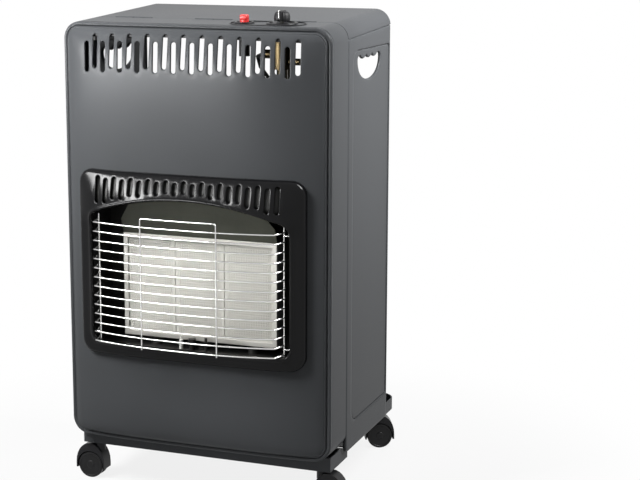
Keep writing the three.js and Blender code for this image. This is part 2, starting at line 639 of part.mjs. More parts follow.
// Hangs from the pan's floor behind the mixer tubes and carries the manifold on its foot.
function manifoldBracket() {
  const w = plaque.pitch / 2 + hanger.overhang;
  const y = mixer.y + mixer.radius + hanger.clear;
  const foot = manifold.z - manifold.radius - gap;
  const top = pan.bottom - gap;
  return join([
    box(-w, w, y, y + sheet, foot - sheet, top),
    box(-w, w, mixer.y - hanger.footFront, y + 1, foot - sheet, foot),
    box(-w, w, y + 1, y + hanger.shelf, top - sheet, top),
  ]);
}
const valveMid = (valve.bottom + valve.top) / 2;
function gasValve() {
  const { radius, bottom, top, stemTop, portRadius, portLength, outletRadius, outletDrop } = valve;
  const reach = radius + portLength;
  return join([
    rod(radius, bottom, top, knob.x, knob.y),
    rod(valve.stemRadius, top - 1, stemTop, knob.x, knob.y, 16),
    rod(valve.capRadius, bottom - valve.capHeight, bottom + 1, knob.x, knob.y, 16),
    rodX(portRadius, knob.x - reach, knob.x, knob.y, valveMid, 12),
    rodX(outletRadius, knob.x, knob.x + reach, knob.y, valveMid - outletDrop, 12),
  ]).subtract(rod(spindle.radius + gap, top - spindle.depth, stemTop + 1, knob.x, knob.y, 12));
}
function valveBracket() {
  const z = valve.top + gap;
  const { halfWidth: w, halfDepth: d } = valveShelf;
  const roof = (y) => roofAt(y) - sheet - gap;
  const cheek = (x0, x1) => alongX(polygon([
    [knob.y - d, z], [knob.y + d, z], [knob.y + d, roof(knob.y + d)], [knob.y - d, roof(knob.y - d)]]), x0, x1);
  return join([
    box(knob.x - w, knob.x + w, knob.y - d, knob.y + d, z, z + sheet),
    cheek(knob.x - w, knob.x - w + sheet), cheek(knob.x + w - sheet, knob.x + w),
  ]).subtract(rod(valve.stemRadius + gap, z - 1, z + sheet + 1, knob.x, knob.y, 12));
}
const bezelZ = (y) => roofAt(y) + gap;
// A ring that lies on the sloping roof.
function bezel(x, y, radius, bore, height) {
  const geometry = turned([[bore, 0], [radius, 0], [radius, height * bezelEdge.share],
    [radius - bezelEdge.inset, height], [bore, height], [bore, 0]], 24);
  geometry.rotateX(Math.atan(cabinet.roofSlope));
  geometry.translate(x, y, bezelZ(y) + 0.01);
  return solid(geometry);
}
const knobFloor = roofAt(knob.y + knob.bezelRadius) + gap + knob.bezelHeight + knob.travel + knob.lift;
const spindleTop = knobFloor + knob.skirtHeight;
// The flat on the spindle's back reaches down by the knob's travel, and the knob's bore has the same flat.
const flatCut = (clearance, z0, z1) => box(knob.x - 2 * spindle.radius, knob.x + 2 * spindle.radius,
  knob.y + spindle.radius - spindle.flat + clearance, knob.y + 3 * spindle.radius, z0, z1);
function valveSpindle() {
  const foot = valve.top - spindle.depth + gap;
  return rod(spindle.radius, foot, spindleTop, knob.x, knob.y, 16)
    .subtract(flatCut(0, knobFloor - knob.travel - gap, spindleTop + 1));
}
function controlKnob() {
  const { skirtRadius: r, skirtHeight, gripRadius, gripHeight, edge, barHalf, barInset } = knob;
  const skirtTop = knobFloor + skirtHeight;
  const grip = skirtTop + gripHeight;
  const profile = [[0, knobFloor], [r, knobFloor], [r, skirtTop - edge], [r - edge, skirtTop],
    [gripRadius + 1, skirtTop + knob.shoulder], [gripRadius, grip - edge], [gripRadius - edge, grip],
    [0, grip]];
  const geometry = turned(profile, 20);
  geometry.translate(knob.x, knob.y, 0);
  const plan = roundedRectangle(
    knob.x - barHalf, knob.x + barHalf, knob.y - r + barInset, knob.y + r - barInset, barHalf - edge);
  const bar = alongZ(plan, skirtTop - 1, grip + knob.barRise, 3);
  const boreTop = spindleTop + knob.travel + 1;
  const bore = rod(spindle.radius + gap, knobFloor - 1, boreTop, knob.x, knob.y, 16)
    .subtract(flatCut(gap, knobFloor - 2, boreTop + 1));
  return solid(geometry).add(bar).subtract(bore);
}
const igniterTop = roofAt(igniter.y) - igniter.recess;
const igniterFoot = igniterTop - igniter.bodyLength;
function igniterBody() {
  const { x, y, bodyRadius, wall, hammer, terminalRadius, terminal } = igniter;
  return rod(bodyRadius, igniterFoot, igniterTop, x, y)
    .subtract(rod(bodyRadius - wall, igniterFoot + hammer, igniterTop + 1, x, y))
    .add(rod(terminalRadius, igniterFoot - terminal, igniterFoot + 1, x, y, 12));
}
function igniterButton() {
  const { x, y, button, buttonHeight, buttonFoot, bodyRadius, wall, travel } = igniter;
  const z0 = igniterTop + travel + gap;
  const h = button / 2;
  const cap = alongZ(roundedRectangle(x - h, x + h, y - h, y + h, wall), z0, z0 + buttonHeight, 3);
  return cap.add(rod(bodyRadius - wall - gap, z0 - buttonFoot, z0 + 1, x, y));
}
function pilotBurner() {
  const { x, y, bottom, height, radius, capLip, capHeight, foot, footEnd, footBack, armHalf } = pilot;
  const top = bottom + height;
  const [x0, x1] = [electrode.x - footEnd, probe.x + footEnd];
  const plate = box(x0, x1, y - pilot.footFront, y + footBack, bottom - foot, bottom);
  const stem = rod(radius, bottom - 1, top, x, y, 12);
  const cap = rod(radius + capLip, top - capHeight, top, x, y, 12);
  const hole = (r, at) => rod(r, bottom - foot - 1, bottom + capHeight + 2, at.x, at.y, 12);
  const holes = join([hole(probe.radius + gap, probe), hole(electrode.radius + gap, electrode),
    hole(pilotPipe.radius + 2 * gap, pilot)]);
  const armEnd = plaque.front - gap - trim.thickness - gap;
  const arm = box(x - armHalf, x + armHalf, y + footBack - 1, armEnd, bottom - foot, bottom);
  return join([plate, stem, cap]).subtract(holes).add(arm);
}
function sparkElectrode() {
  const { x, y, radius, height, pin } = electrode;
  const top = pilot.bottom + height;
  return rod(radius, pilot.bottom - 1, top, x, y, 12)
    .add(tube([[x, y, top - 1], [x, y, top + 5], [x + 3, y, top + 9], [x + 7, y, top + 10]], pin, 6, 5));
}
// The pipes and leads leave the burner under the pan, rise beside it and end at the valve or the igniter.
const capFoot = valve.bottom - valve.capHeight - gap;
function thermocouple() {
  const { x, y, radius, height, leadRadius } = probe;
  const z = pilot.bottom;
  const riser = pilotPipe.x;
  return rod(radius, z - 1, z + height, x, y, 12)
    .add(tube([[x, y, z], [x, y, z - 18], [x + 18, y + 4, z - 34], [half - 100, 10, z - 40],
      [riser - 10, 18, z - 30], [riser, 26, z + 10], [riser, 26, valve.bottom - 168],
      [riser, 28, valve.bottom - 68], [riser - 28, knob.y, valve.bottom - 44],
      [knob.x, knob.y, valve.bottom - 36], [knob.x, knob.y, capFoot]], leadRadius, 30, 5));
}
function pilotSupply() {
  const outlet = valveMid - valve.outletDrop;
  const start = knob.x + valve.radius + valve.portLength + gap;
  const low = pan.bottom;
  const { x: px, y: py, radius } = pilotPipe;
  return tube([[start, knob.y, outlet], [start + 9, knob.y, outlet], [px, py, outlet - 12],
    [px, py, valve.bottom - 88], [px, py, low + 34], [px, py, low - 12], [px - 28, py - 10, low - 22],
    [px - 78, py - 34, low - 20], [px - 128, py - 37, low - 17], [pilot.x + 20, pilot.y + 9, low - 15],
    [pilot.x + 3, pilot.y + 2, low - 13], [pilot.x, pilot.y, low - 7], [pilot.x, pilot.y, low - 1],
    [pilot.x, pilot.y, pilot.bottom + 5]], radius, 30, 5);
}
function burnerSupply() {
  const start = knob.x - valve.radius - valve.portLength - gap;
  const end = manifold.halfLength + gap;
  const { x: px, y: py, radius } = feedPipe;
  return tube([[start, knob.y, valveMid], [start - 9, knob.y, valveMid], [start - 14, py + 12, valveMid - 10],
    [start - 6, py + 20, valveMid - 34], [px - 39, py + 20, valve.bottom - 48],
    [px - 9, py + 20, valve.bottom - 68], [px, py + 16, valve.bottom - 88], [px, py, valve.bottom - 128],
    [px, py, pan.bottom + 74], [px, py, pan.bottom - 26], [px - 12, py - 4, manifold.z + 6],
    [end + 34, mixer.y, manifold.z], [end, mixer.y, manifold.z]], radius, 32, 6);
}
function ignitionWire() {
  const { x: ix, y: iy } = igniter;
  const z = igniterFoot - igniter.terminal - gap;
  const { x: lx, y: ly, radius } = ignitionLead;
  const { x: ex, y: ey } = electrode;
  const low = pan.bottom;
  return tube([[ix, iy, z], [ix, iy, z - 20], [ix - 30, iy + 8, z - 42],
    [ix - 124, ly + 10, valve.bottom - 58], [lx + 28, ly + 8, valve.bottom - 73],
    [lx, ly, valve.bottom - 108], [lx, ly, pan.top - 92],
    [lx, ly, low + 24], [lx + 8, ly - 6, low - 20], [lx + 68, ey + 11, low - 30], [ex - 14, ey, low - 26],
    [ex, ey, low - 12], [ex, ey, pilot.bottom - 1 - gap]], radius, 32, 5);
}
// Points down at the back of the valve, where the bottle's hose is pushed on.
function hoseInlet() {
  const { radius, boreRadius, length, barbs, barbPitch, barbTaper, neck, elbow, elbowHalf } = inlet;
  const z = valve.bottom + inlet.above;
  const y0 = knob.y + valve.radius;
  const axis = y0 + inlet.axis;
  const block = box(knob.x - elbowHalf, knob.x + elbowHalf, y0 + gap, y0 + elbow, z, z + elbow);
  const profile = [[0, z - length]];
  for (let i = 0; i < barbs; i += 1) {
    const low = z - length + i * barbPitch;
    profile.push([radius - barbTaper, low], [radius, low + 0.8 * barbPitch]);
  }
  profile.push([radius - neck, z - elbowHalf], [radius - neck, z + 1], [0, z + 1]);
  const geometry = turned(profile, 14);
  geometry.translate(knob.x, axis, 0);
  const bore = rod(boreRadius, z - length - 1, z + elbow / 2, knob.x, axis, 12);
  return solid(geometry).add(block).subtract(bore);
}

// ---------------------------------------------------------------- base channel and hinges
function baseChannel() {
  const { halfWidth: w, front, bottom, wall, shelfBack, shelfTop, bossHeight } = base;
  const top = cabinet.bottom - gap;
  const back = unitBack - gap;
  let body = box(-w, w, front, back, bottom, top)
    .subtract(box(-w + wall, w - wall, front + wall, back - wall, bottom + wall, top + 1));
  body = body.add(box(-w, w, back - wall, shelfBack, bottom, shelfTop)
    .subtract(box(-w + wall, w - wall, back, shelfBack - wall, bottom - 1, shelfTop - wall)));
  // The wrapper's round corners stay clear of the channel's ends.
  body = body.subtract(withRoofSlope(alongY(outline(-gap), 0, unitBack + 1)));
  for (const side of [-1, 1]) {
    const x = side * caster.frontX;
    body = body.add(rod(tray.bossRadius, bottom, bottom + bossHeight, x, caster.frontY, 12));
    body = body.subtract(rod(caster.stemBore, bottom - 1, bottom + bossHeight - wall, x, caster.frontY, 12));
  }
  const h = trayHinge;
  for (const x of h.centres) {
    body = body.add(rodX(h.barrel, x - h.knuckle, x - gap / 2, h.y, h.z));
    body = body.add(box(x - h.knuckle, x - gap / 2, shelfBack - 1, h.y, h.z - h.barrel, h.z));
  }
  return body.subtract(rodX(h.bore, -half, half, h.y, h.z, 12));
}
function sideHingeLeaf(side) {
  const h = sideHinge;
  const leafEdge = h.x - h.barrel - h.leafClear;
  const sorted = (a, b) => [Math.min(side * a, side * b), Math.max(side * a, side * b)];
  const [x0, x1] = sorted(half - h.leafReach, leafEdge);
  const [lowest, , highest] = h.levels;
  const z0 = lowest - h.leafBelow;
  const z1 = highest + 2 * h.knuckle - h.leafAbove;
  let leaf = box(x0, x1, unitBack + gap, unitBack + gap + h.leaf, z0, z1);
  for (const z of h.levels) {
    const [w0, w1] = sorted(leafEdge - 2, h.x);
    leaf = leaf.add(rod(h.barrel, z, z + h.knuckle, side * h.x, h.y, 12));
    leaf = leaf.add(box(w0, w1, unitBack + gap, h.y, z, z + h.knuckle));
  }
  return leaf.subtract(rod(h.bore, z0 - 1, z1 + h.knuckle, side * h.x, h.y, 12));
}
function sideHingePin(side) {
  const { levels: [lowest, , highest], pin, pinReach, knuckle, shorter, x, y } = sideHinge;
  return rod(pin, lowest - pinReach, highest + 2 * knuckle - shorter, side * x, y, 12);
}
function lidHingeLeaf() {
  const h = lidHinge;
  const reach = h.spacing + h.knuckle;
  const y0 = unitBack + gap;
  let leaf = box(-reach, reach, y0, y0 + h.leaf, cabinet.top - h.leafDrop, h.z - h.leafTop);
  for (const x of h.centres) {
    leaf = leaf.add(rodX(h.barrel, x - h.knuckle, x - gap, h.y, h.z));
    leaf = leaf.add(box(x - h.knuckle, x - gap, y0, y0 + h.leaf, h.z - h.leafTop - 1, h.z));
  }
  return leaf.subtract(rodX(h.bore, -half, half, h.y, h.z, 12));
}
function lidHingePin(x) {
  return rodX(lidHinge.pin, x - lidHinge.knuckle, x + lidHinge.knuckle, lidHinge.y, lidHinge.z, 12);
}
function trayHingePin() {
  const reach = trayHinge.spacing + trayHinge.knuckle;
  return rodX(trayHinge.pin, -reach, reach, trayHinge.y, trayHinge.z, 12);
}

// ---------------------------------------------------------------- lid, side panels and tray
const lidEdge = (y) => roofAt(y) - lid.flange; // lower edge of the lid's side flanges
function rearLid() {
  const foot = cabinet.top - cabinet.cornerRadius - lid.flange;
  const section = (inset) => {
    const r = cabinet.cornerRadius - inset;
    const w = half - inset;
    const top = cabinet.top - inset;
    const shape = new THREE.Shape();
    shape.moveTo(-w, foot - inset);
    shape.lineTo(w, foot - inset);
    shape.lineTo(w, top - r);
    shape.absarc(w - r, top - r, r, 0, Math.PI / 2);
    shape.lineTo(-w + r, top);
    shape.absarc(-w + r, top - r, r, Math.PI / 2, Math.PI);
    return shape;
  };
  const inside = alongY(section(sheet), lid.front - 1, lid.back - sheet);
  const kept = box(-half, half, lid.front - 1, lid.back + 1, cabinet.top - lid.flange, cabinet.top + 1);
  let body = withRoofSlope(alongY(section(0), lid.front, lid.back).subtract(inside).intersect(kept));
  const h = lidHinge;
  const notch = h.barrel + h.notch;
  const strap = roofAt(h.y) - sheet;
  for (const x of h.centres) {
    const end = x + h.knuckle;
    const start = x - h.knuckle - h.notch;
    body = body.subtract(box(start, end + gap, 0, h.y + notch, h.z - notch, 2 * cabinet.top));
    body = body.add(rodX(h.barrel, x + gap / 2, end, h.y, h.z));
    body = body.add(box(x + gap / 2, end, h.y, h.y + notch + 2, strap, strap + h.strap));
    body = body.subtract(rodX(h.bore, x - 1, end + gap / 2, h.y, h.z, 12));
  }
  return body;
}
function gripShape() {
  const { front, length, gripLength, gripTop, gripDrop, gripCorner, scallops, scallopDepth } = sidePanel;
  const y0 = front + (length - gripLength) / 2;
  const y1 = y0 + gripLength;
  const pitch = gripLength / (scallops + 1);
  const shoulder = gripTop - gripCorner;
  const shape = new THREE.Shape();
  shape.moveTo(y0, shoulder);
  shape.bezierCurveTo(y0, shoulder - gripDrop, y1, shoulder - gripDrop, y1, shoulder);
  shape.quadraticCurveTo(y1, gripTop, y1 - pitch / 2, gripTop);
  for (let i = scallops; i > 0; i -= 1) {
    const from = y0 + (i + 0.5) * pitch;
    shape.quadraticCurveTo(from - pitch / 2, gripTop - 2 * scallopDepth, from - pitch, gripTop);
  }
  shape.quadraticCurveTo(y0, gripTop, y0, shoulder);
  return shape;
}
function foldingSide(side) {
  const { front, back, bottom, thickness, cornerRadius: r, topGap, fieldDepth } = sidePanel;
  const outer = side * half;
  const inner = side * (half - thickness);
  const top = (y) => lidEdge(y) - topGap;
  const face = new THREE.Shape();
  face.moveTo(front + r, bottom);
  face.lineTo(back, bottom);
  face.lineTo(back, top(back));
  face.lineTo(front, top(front));
  face.lineTo(front, bottom + r);
  face.absarc(front + r, bottom + r, r, Math.PI, Math.PI * 1.5);
  let body = alongX(face, inner, outer).subtract(alongX(gripShape(), inner - 9, outer + 9, 5));
  const field = roundedRectangle(front + sidePanel.fieldInset, back + cabinet.cornerRadius,
    bottom + sidePanel.fieldFoot, cabinet.top - sidePanel.fieldHead, sidePanel.fieldRadius);
  body = body.subtract(alongX(field, side * (half - fieldDepth), side * (half + fieldDepth)));
  const h = sideHinge;
  for (const z of h.levels) {
    const z0 = z + h.knuckle + gap;
    const z1 = z0 + h.knuckle - h.shorter;
    const reach = side * (half - thickness / 2);
    body = body.add(rod(h.barrel, z0, z1, side * h.x, h.y, 12));
    body = body.add(box(side * h.x, reach, h.y - 1, h.y + h.leaf, z0, z1));
  }
  return body.subtract(rod(h.bore, 0, cabinet.top, side * h.x, h.y, 12));
}
function bottleTray() {
  const t = tray;
  const h = trayHinge;
  const floorTop = t.floor + t.floorThickness;
  const plan = (inset, front) => {
    const r = t.cornerRadius - inset;
    const w = t.halfWidth - inset;
    const shape = new THREE.Shape();
    shape.moveTo(-w, front);
    shape.lineTo(w, front);
    shape.lineTo(w, t.back - inset - r);
    shape.absarc(w - r, t.back - inset - r, r, 0, Math.PI / 2);
    shape.lineTo(-w + r, t.back - inset);
    shape.absarc(-w + r, t.back - inset - r, r, Math.PI / 2, Math.PI);
    return shape;
  };
  let body = alongZ(plan(0, h.y), t.floor, floorTop);
  const rim = alongZ(plan(0, t.rimFront), t.floor, t.rimTop)
    .subtract(alongZ(plan(t.rimWall, t.rimFront - 1), t.floor - 1, t.rimTop + 1));
  body = body.add(rim);
  for (const x of h.centres) {
    const notchBack = h.y + h.barrel + h.notch;
    body = body.subtract(box(x - h.knuckle - 2 * gap, x + gap / 2, 0, notchBack, t.floor - 1, floorTop + 1));
    body = body.add(rodX(h.barrel, x + gap / 2, x + h.knuckle, h.y, h.z));
  }
  for (const side of [-1, 1]) {
    const x = side * caster.rearX;
    body = body.add(rod(t.bossRadius, t.bossBottom, t.floor + 1, x, caster.rearY, 12));
    body = body.subtract(rod(caster.stemBore, t.bossBottom - 1, t.floor, x, caster.rearY, 12));
  }
  return body.subtract(rodX(h.bore, -half, half, h.y, h.z, 12));
}

// ---------------------------------------------------------------- casters
// Drawn with the swivel axis at 0, 0 and the wheels trailing towards +X, then turned and placed.
function casterHood(stemTop) {
  const { trail, hoodRadius: r, hoodTop, hoodFoot, hoodCrown, wheelRadius, halfWidth, web, collarTop } = caster;
  const inner = wheelRadius + caster.wheelClearance;
  const dip = Math.asin((wheelRadius - hoodFoot) / inner);
  const shape = new THREE.Shape();
  shape.moveTo(trail - r, hoodFoot);
  shape.lineTo(trail - inner * Math.cos(dip), hoodFoot);
  shape.absarc(trail, wheelRadius, inner, Math.PI + dip, -dip, true);
  shape.lineTo(trail + r, hoodFoot);
  const shoulder = wheelRadius + caster.hoodShoulder;
  const bend = hoodTop - hoodCrown;
  shape.lineTo(trail + r, shoulder);
  shape.bezierCurveTo(trail + r, bend, trail + r - hoodCrown, hoodTop, trail, hoodTop);
  shape.bezierCurveTo(trail - r + hoodCrown, hoodTop, trail - r, bend, trail - r, shoulder);
  const fender = alongY(shape, -halfWidth, halfWidth, 7);
  const plate = new THREE.Shape();
  plate.moveTo(trail - inner - 1, hoodFoot);
  plate.lineTo(trail + inner + 1, hoodFoot);
  plate.lineTo(trail + inner - web, bend - web * 3);
  plate.lineTo(trail, hoodTop - web);
  plate.lineTo(trail - inner + web, bend - web * 3);
  return join([
    fender, alongY(plate, -web, web, 4),
    rod(caster.collarRadius, collarTop - caster.collarHeight, collarTop),
    rod(caster.stem, collarTop - 1, stemTop),
  ]).subtract(rodY(caster.axleBore, -r, r, trail, wheelRadius));
}
function casterWheels() {
  const { trail, wheelRadius: r, wheelSides, halfWidth, wheelWidth, wheelEndClear, axle } = caster;
  const corner = r / Math.cos(Math.PI / wheelSides); // so that a flat side stands on the floor
  const disc = (y) => {
    const geometry = new THREE.CylinderGeometry(corner, corner, wheelWidth, wheelSides);
    geometry.rotateY(Math.PI / wheelSides);
    geometry.translate(trail, y, r);
    return solid(geometry);
  };
  const middle = halfWidth - wheelEndClear - wheelWidth / 2;
  return join([disc(-middle), disc(middle), rodY(axle, -middle, middle, trail, r)]);
}
function placed(piece, x, y, turn) {
  return piece.rotate([0, 0, turn]).translate([x, y, 0]);
}

// ---------------------------------------------------------------- assembly
add('front_panel', frontPanel(), finishes.paint);
add('front_wrapper', frontWrapper(), finishes.paint);
add('burner_surround', burnerSurround(), finishes.enamel);
add('burner_pan', burnerPan(), finishes.reflector);
add('burner_housing', burnerHousing(), finishes.steel);
const plaqueNames = ['left', 'middle', 'right'];
plaqueCentres().forEach((x, i) => {
  add(`ceramic_plaque_${plaqueNames[i] ?? i}`, ceramicPlaque(x), finishes.ceramic);
  add(`mixer_tube_${plaqueNames[i] ?? i}`, mixerTube(x), finishes.steel);
});
add('plaque_trim', plaqueTrim(), finishes.steel);
add('heat_deflector', heatDeflector(), finishes.reflector);
add('wire_guard', wireGuard(), finishes.chrome);
add('guard_end_left', guardEnd(-1), finishes.chrome);
add('guard_end_right', guardEnd(1), finishes.chrome);
add('gas_manifold', gasManifold(), finishes.brass);
add('manifold_bracket', manifoldBracket(), finishes.steel);
add('gas_valve', gasValve(), finishes.brass);
add('valve_bracket', valveBracket(), finishes.steel);
add('valve_spindle', valveSpindle(), finishes.steel);
add('knob_bezel', bezel(knob.x, knob.y, knob.bezelRadius, knob.bezelBore, knob.bezelHeight), finishes.black);
add('control_knob', controlKnob(), finishes.black);
add('igniter_bezel',
  bezel(igniter.x, igniter.y, igniter.bezelRadius, igniter.bezelBore, igniter.bezelHeight), finishes.black);
add('igniter_body', igniterBody(), finishes.black);
add('igniter_button', igniterButton(), finishes.red);
add('hose_inlet', hoseInlet(), finishes.brass);
add('pilot_burner', pilotBurner(), finishes.steel);
add('spark_electrode', sparkElectrode(), finishes.porcelain);
add('thermocouple', thermocouple(), finishes.copper);
add('pilot_supply_pipe', pilotSupply(), finishes.copper);
add('burner_supply_pipe', burnerSupply(), finishes.steel);
add('ignition_lead', ignitionWire(), finishes.black);
add('base_channel', baseChannel(), finishes.black);
add('side_hinge_leaf_left', sideHingeLeaf(-1), finishes.steel);
add('side_hinge_leaf_right', sideHingeLeaf(1), finishes.steel);
add('side_hinge_pin_left', sideHingePin(-1), finishes.steel);
add('side_hinge_pin_right', sideHingePin(1), finishes.steel);
add('lid_hinge_leaf', lidHingeLeaf(), finishes.steel);
lidHinge.centres.forEach((x, i) => {
  add(`lid_hinge_pin_${i + 1}`, lidHingePin(x), finishes.steel);
});
add('tray_hinge_pin', trayHingePin(), finishes.steel);
add('rear_lid', rearLid(), finishes.paint);
add('side_panel_left', foldingSide(-1), finishes.paint);
add('side_panel_right', foldingSide(1), finishes.paint);
add('bottle_tray', bottleTray(), finishes.paint);

const frontStemTop = base.bottom + caster.frontStem;
const rearStemTop = tray.floor - caster.stemEndClear;
const corners = [
  ['front_left', -caster.frontX, caster.frontY, 180, frontStemTop],
  ['front_right', caster.frontX, caster.frontY, 0, frontStemTop],
  ['rear_left', -caster.rearX, caster.rearY, 180 - caster.rearTurn, rearStemTop],
  ['rear_right', caster.rearX, caster.rearY, caster.rearTurn, rearStemTop],
];
for (const [corner, x, y, turn, stemTop] of corners) {
  add(`caster_hood_${corner}`, placed(casterHood(stemTop), x, y, turn), finishes.black);
  add(`caster_wheels_${corner}`, placed(casterWheels(), x, y, turn), finishes.black);
}

// The origin goes to the middle of the bounding box, on the floor.
const bounds = new THREE.Box3().setFromObject(heater);
const middle = bounds.getCenter(new THREE.Vector3());
for (const mesh of heater.children) mesh.position.y = -middle.y;

export default heater;
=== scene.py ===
"""Looks of the portable gas cabinet heater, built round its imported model.

Sizes are in millimetres as in the model's own drawing: X to the right, Y back from the front rim, Z up.
"""
import math
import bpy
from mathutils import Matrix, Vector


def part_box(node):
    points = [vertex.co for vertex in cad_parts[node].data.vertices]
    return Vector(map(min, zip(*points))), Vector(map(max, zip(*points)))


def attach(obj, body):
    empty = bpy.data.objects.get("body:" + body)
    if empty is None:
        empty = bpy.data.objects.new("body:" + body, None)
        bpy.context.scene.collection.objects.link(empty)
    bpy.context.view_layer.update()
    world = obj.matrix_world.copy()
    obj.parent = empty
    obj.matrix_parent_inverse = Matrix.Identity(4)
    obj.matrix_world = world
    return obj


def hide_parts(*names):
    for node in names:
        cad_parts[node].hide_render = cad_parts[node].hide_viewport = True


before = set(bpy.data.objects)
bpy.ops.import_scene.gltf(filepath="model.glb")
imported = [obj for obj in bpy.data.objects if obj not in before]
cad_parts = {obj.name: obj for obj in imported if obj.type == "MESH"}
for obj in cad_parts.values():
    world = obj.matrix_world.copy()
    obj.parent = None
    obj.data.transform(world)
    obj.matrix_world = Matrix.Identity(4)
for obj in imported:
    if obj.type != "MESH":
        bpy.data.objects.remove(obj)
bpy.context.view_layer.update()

from types import SimpleNamespace as Sizes

import bmesh
import bpy
import numpy as np
from mathutils import Matrix, Vector, geometry

MM = 0.001

# ---------------------------------------------------------------- sizes
cabinet = Sizes(half=210, bottom=82, top=710, corner=25, unit_back=70, rim_depth=8, rim_band=5, rim_width=6,
                slope=math.tan(math.radians(3)),
                rim=[(0, 4.6), (0.25, 3.4), (0.9, 2.4), (1.9, 1.9), (3.2, 1.8), (4.4, 2.0), (5.2, 2.7), (5.8, 3.4),
                     (6.4, 3.2), (7.0, 1.9), (7.5, 1.0), (8.0, 0.6), (8.6, 0.7), (9.2, 1.1), (9.8, 0.6), (10.6, 0)])
wall = Sizes(sheet=1.2, enamel=1.4, thin=0.8)
pillow = Sizes(depth=24, power=4, top_span=48, bottom_span=66, top_share=0.2, bottom_share=0.35)
vents = Sizes(count=24, pitch=14.3, width=7, arch_rise=3, low=(638.5, 683), high=(644, 693.5), roll=1.7,
              strip_half=186, strip_drop=4.2, strip_rise=4, strip_behind=4)
surround = Sizes(half=178.5, bottom=220, top=497, corner=22, roll=5, stand_out=10, hood_reach=11, hood_top=497,
                 hood_lip=462, hood_swell=0.3, hood_foot=(-20, 8), hood_power=6, open_half=156, open_bottom=240,
                 open_shoulder=432, open_crown=458, open_corner=14,
                 lip=[(0, 4.5), (0.4, 2.2), (1.0, 0.4), (2.0, -1.0), (3.2, -1.5), (4.4, -1.1), (5.4, -0.3),
                      (6.2, 0)])
# The louvres' last four sizes place a dark sheet behind them, which is painted shade.
louvres = Sizes(count=21, pitch=14.1, width=6.5, top=489, side_bottom=447, arch_rise=14, stagger=3,
                above_lip=9, roll=1.9, baffle_half=146, baffle_behind=6, baffle_above=3, baffle_below=1)
pan = Sizes(half=170, bottom=226, top=492, mouth_inset=10)
plaque = Sizes(count=3, width=77.4, height=145, thickness=12, pitch=78.9, centre_z=320.5, front=14,
               hole_pitch=3.8, hole_radius=1.1, hole_depth=2.6)
guard = Sizes(wire=1.1, count=14, bottom=245, top=423, post_x=149, post_foot=238, post_head=431, corner_y=-43,
              corner_bend=5, bow_end=7, bow_y=-61.1, bow_power=2.4, loop_x=59.2, loop_top=436, loop_bend=8,
              loop_foot=3, behind=2.5, hook_out=166, hooks=(252, 418))
knob = Sizes(x=122, y=36, bezel=22.5, bezel_bore=9, bezel_height=2.4, grip=10.5, height=14.2, travel=3,
             lift=0.6, flutes=18, flute_depth=0.35, bar_half=3.4, mark_half=0.6)
control = Sizes(left=68, right=133.5, radius=24.6, band=1.3, height=1.3)
igniter = Sizes(x=64, y=36, bezel=14.5, bezel_bore=8.3, bezel_height=2.2, button=11, button_corner=1.6,
                button_height=8, foot=6.2, foot_length=10, travel=5)
bezel_web = 0.36
side = Sizes(thickness=5, front=71, length=196, bottom=75, top_gap=0.7, corner=10, field_start=96,
             field_bottom=115, field_top=672, field_corner=20, field_back=10, field_small_corner=6,
             field_depth=1.2, grip_length=105, grip_top=663, grip_bottom=622, grip_corner=6, grip_roll=2.2,
             scallops=3, scallop_depth=5.5)
hinge = Sizes(x=201.5, y=74, barrel=3.3, bore=1.8, knuckle=29, shorter=10, strap=(0.6, 2.0), strap_bite=0.4,
              levels=(100, 372, 640))
lid = Sizes(flange=23)
caster = Sizes(front=(184, 40), rear=(165.5, 327), rear_turn=25, wheel=20.5, trail=13, half_width=11.5,
               wheel_width=7.4, axle=3)
gap = 0.3

origin_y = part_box("front_wrapper")[1].y / MM - cabinet.unit_back


def to_frame(points):
    """Drawing millimetres as metres in the model's frame."""
    return [(x * MM, (y + origin_y) * MM, z * MM) for x, y, z in points]


def roof_at(y):
    return cabinet.top + y * cabinet.slope


def quarter_round(share):
    t = np.clip(share, 0, 1)
    return np.sqrt(1 - (1 - t) ** 2)


def panel_front(x, z):
    """Y of the pressed front panel: a pillow that starts inside a plain rim."""
    rim = cabinet.rim_width
    across = np.maximum(0, 1 - np.abs(x / (cabinet.half - cabinet.rim_band)) ** pillow.power)
    from_top = quarter_round((cabinet.top - rim - z) / (pillow.top_span - rim))
    from_bottom = quarter_round((z - cabinet.bottom - rim) / (pillow.bottom_span - rim))
    up = pillow.top_share + (1 - pillow.top_share) * from_top
    down = pillow.bottom_share + (1 - pillow.bottom_share) * from_bottom
    return -pillow.depth * across * np.minimum(up, down)


def smoothstep(value, low, high):
    t = np.clip((value - low) / (high - low), 0, 1)
    return t * t * (3 - 2 * t)


def surround_front(x, z):
    """Y of the burner surround: it follows the panel, and its upper part swells into a hood."""
    fall = np.clip((surround.hood_top - z) / (surround.hood_top - surround.hood_lip), 0, 1)
    rise = (1 - surround.hood_swell) * fall + surround.hood_swell * np.sin(math.pi / 2 * fall)
    foot, full = surround.hood_foot
    below = smoothstep(z, surround.open_shoulder + foot, surround.open_shoulder + full)
    across = np.maximum(0, 1 - np.abs(x / surround.half) ** surround.hood_power)
    return panel_front(x, z) - surround.stand_out - surround.hood_reach * rise * below * across


# ---------------------------------------------------------------- materials
def node(tree, kind, inputs=None, **settings):
    """One shader node. inputs maps a socket to a value or to another node's output."""
    made = tree.nodes.new(kind)
    for name, value in settings.items():
        setattr(made, name, value)
    for socket, value in (inputs or {}).items():
        if isinstance(value, bpy.types.NodeSocket):
            tree.links.new(value, made.inputs[socket])
        else:
            made.inputs[socket].default_value = value
    return made


def noise(tree, place, scale, detail=3.0, roughness=0.5):
    made = node(tree, "ShaderNodeTexNoise", {"Vector": place, "Scale": scale, "Detail": detail,
                                             "Roughness": roughness})
    return made.outputs["Fac"]


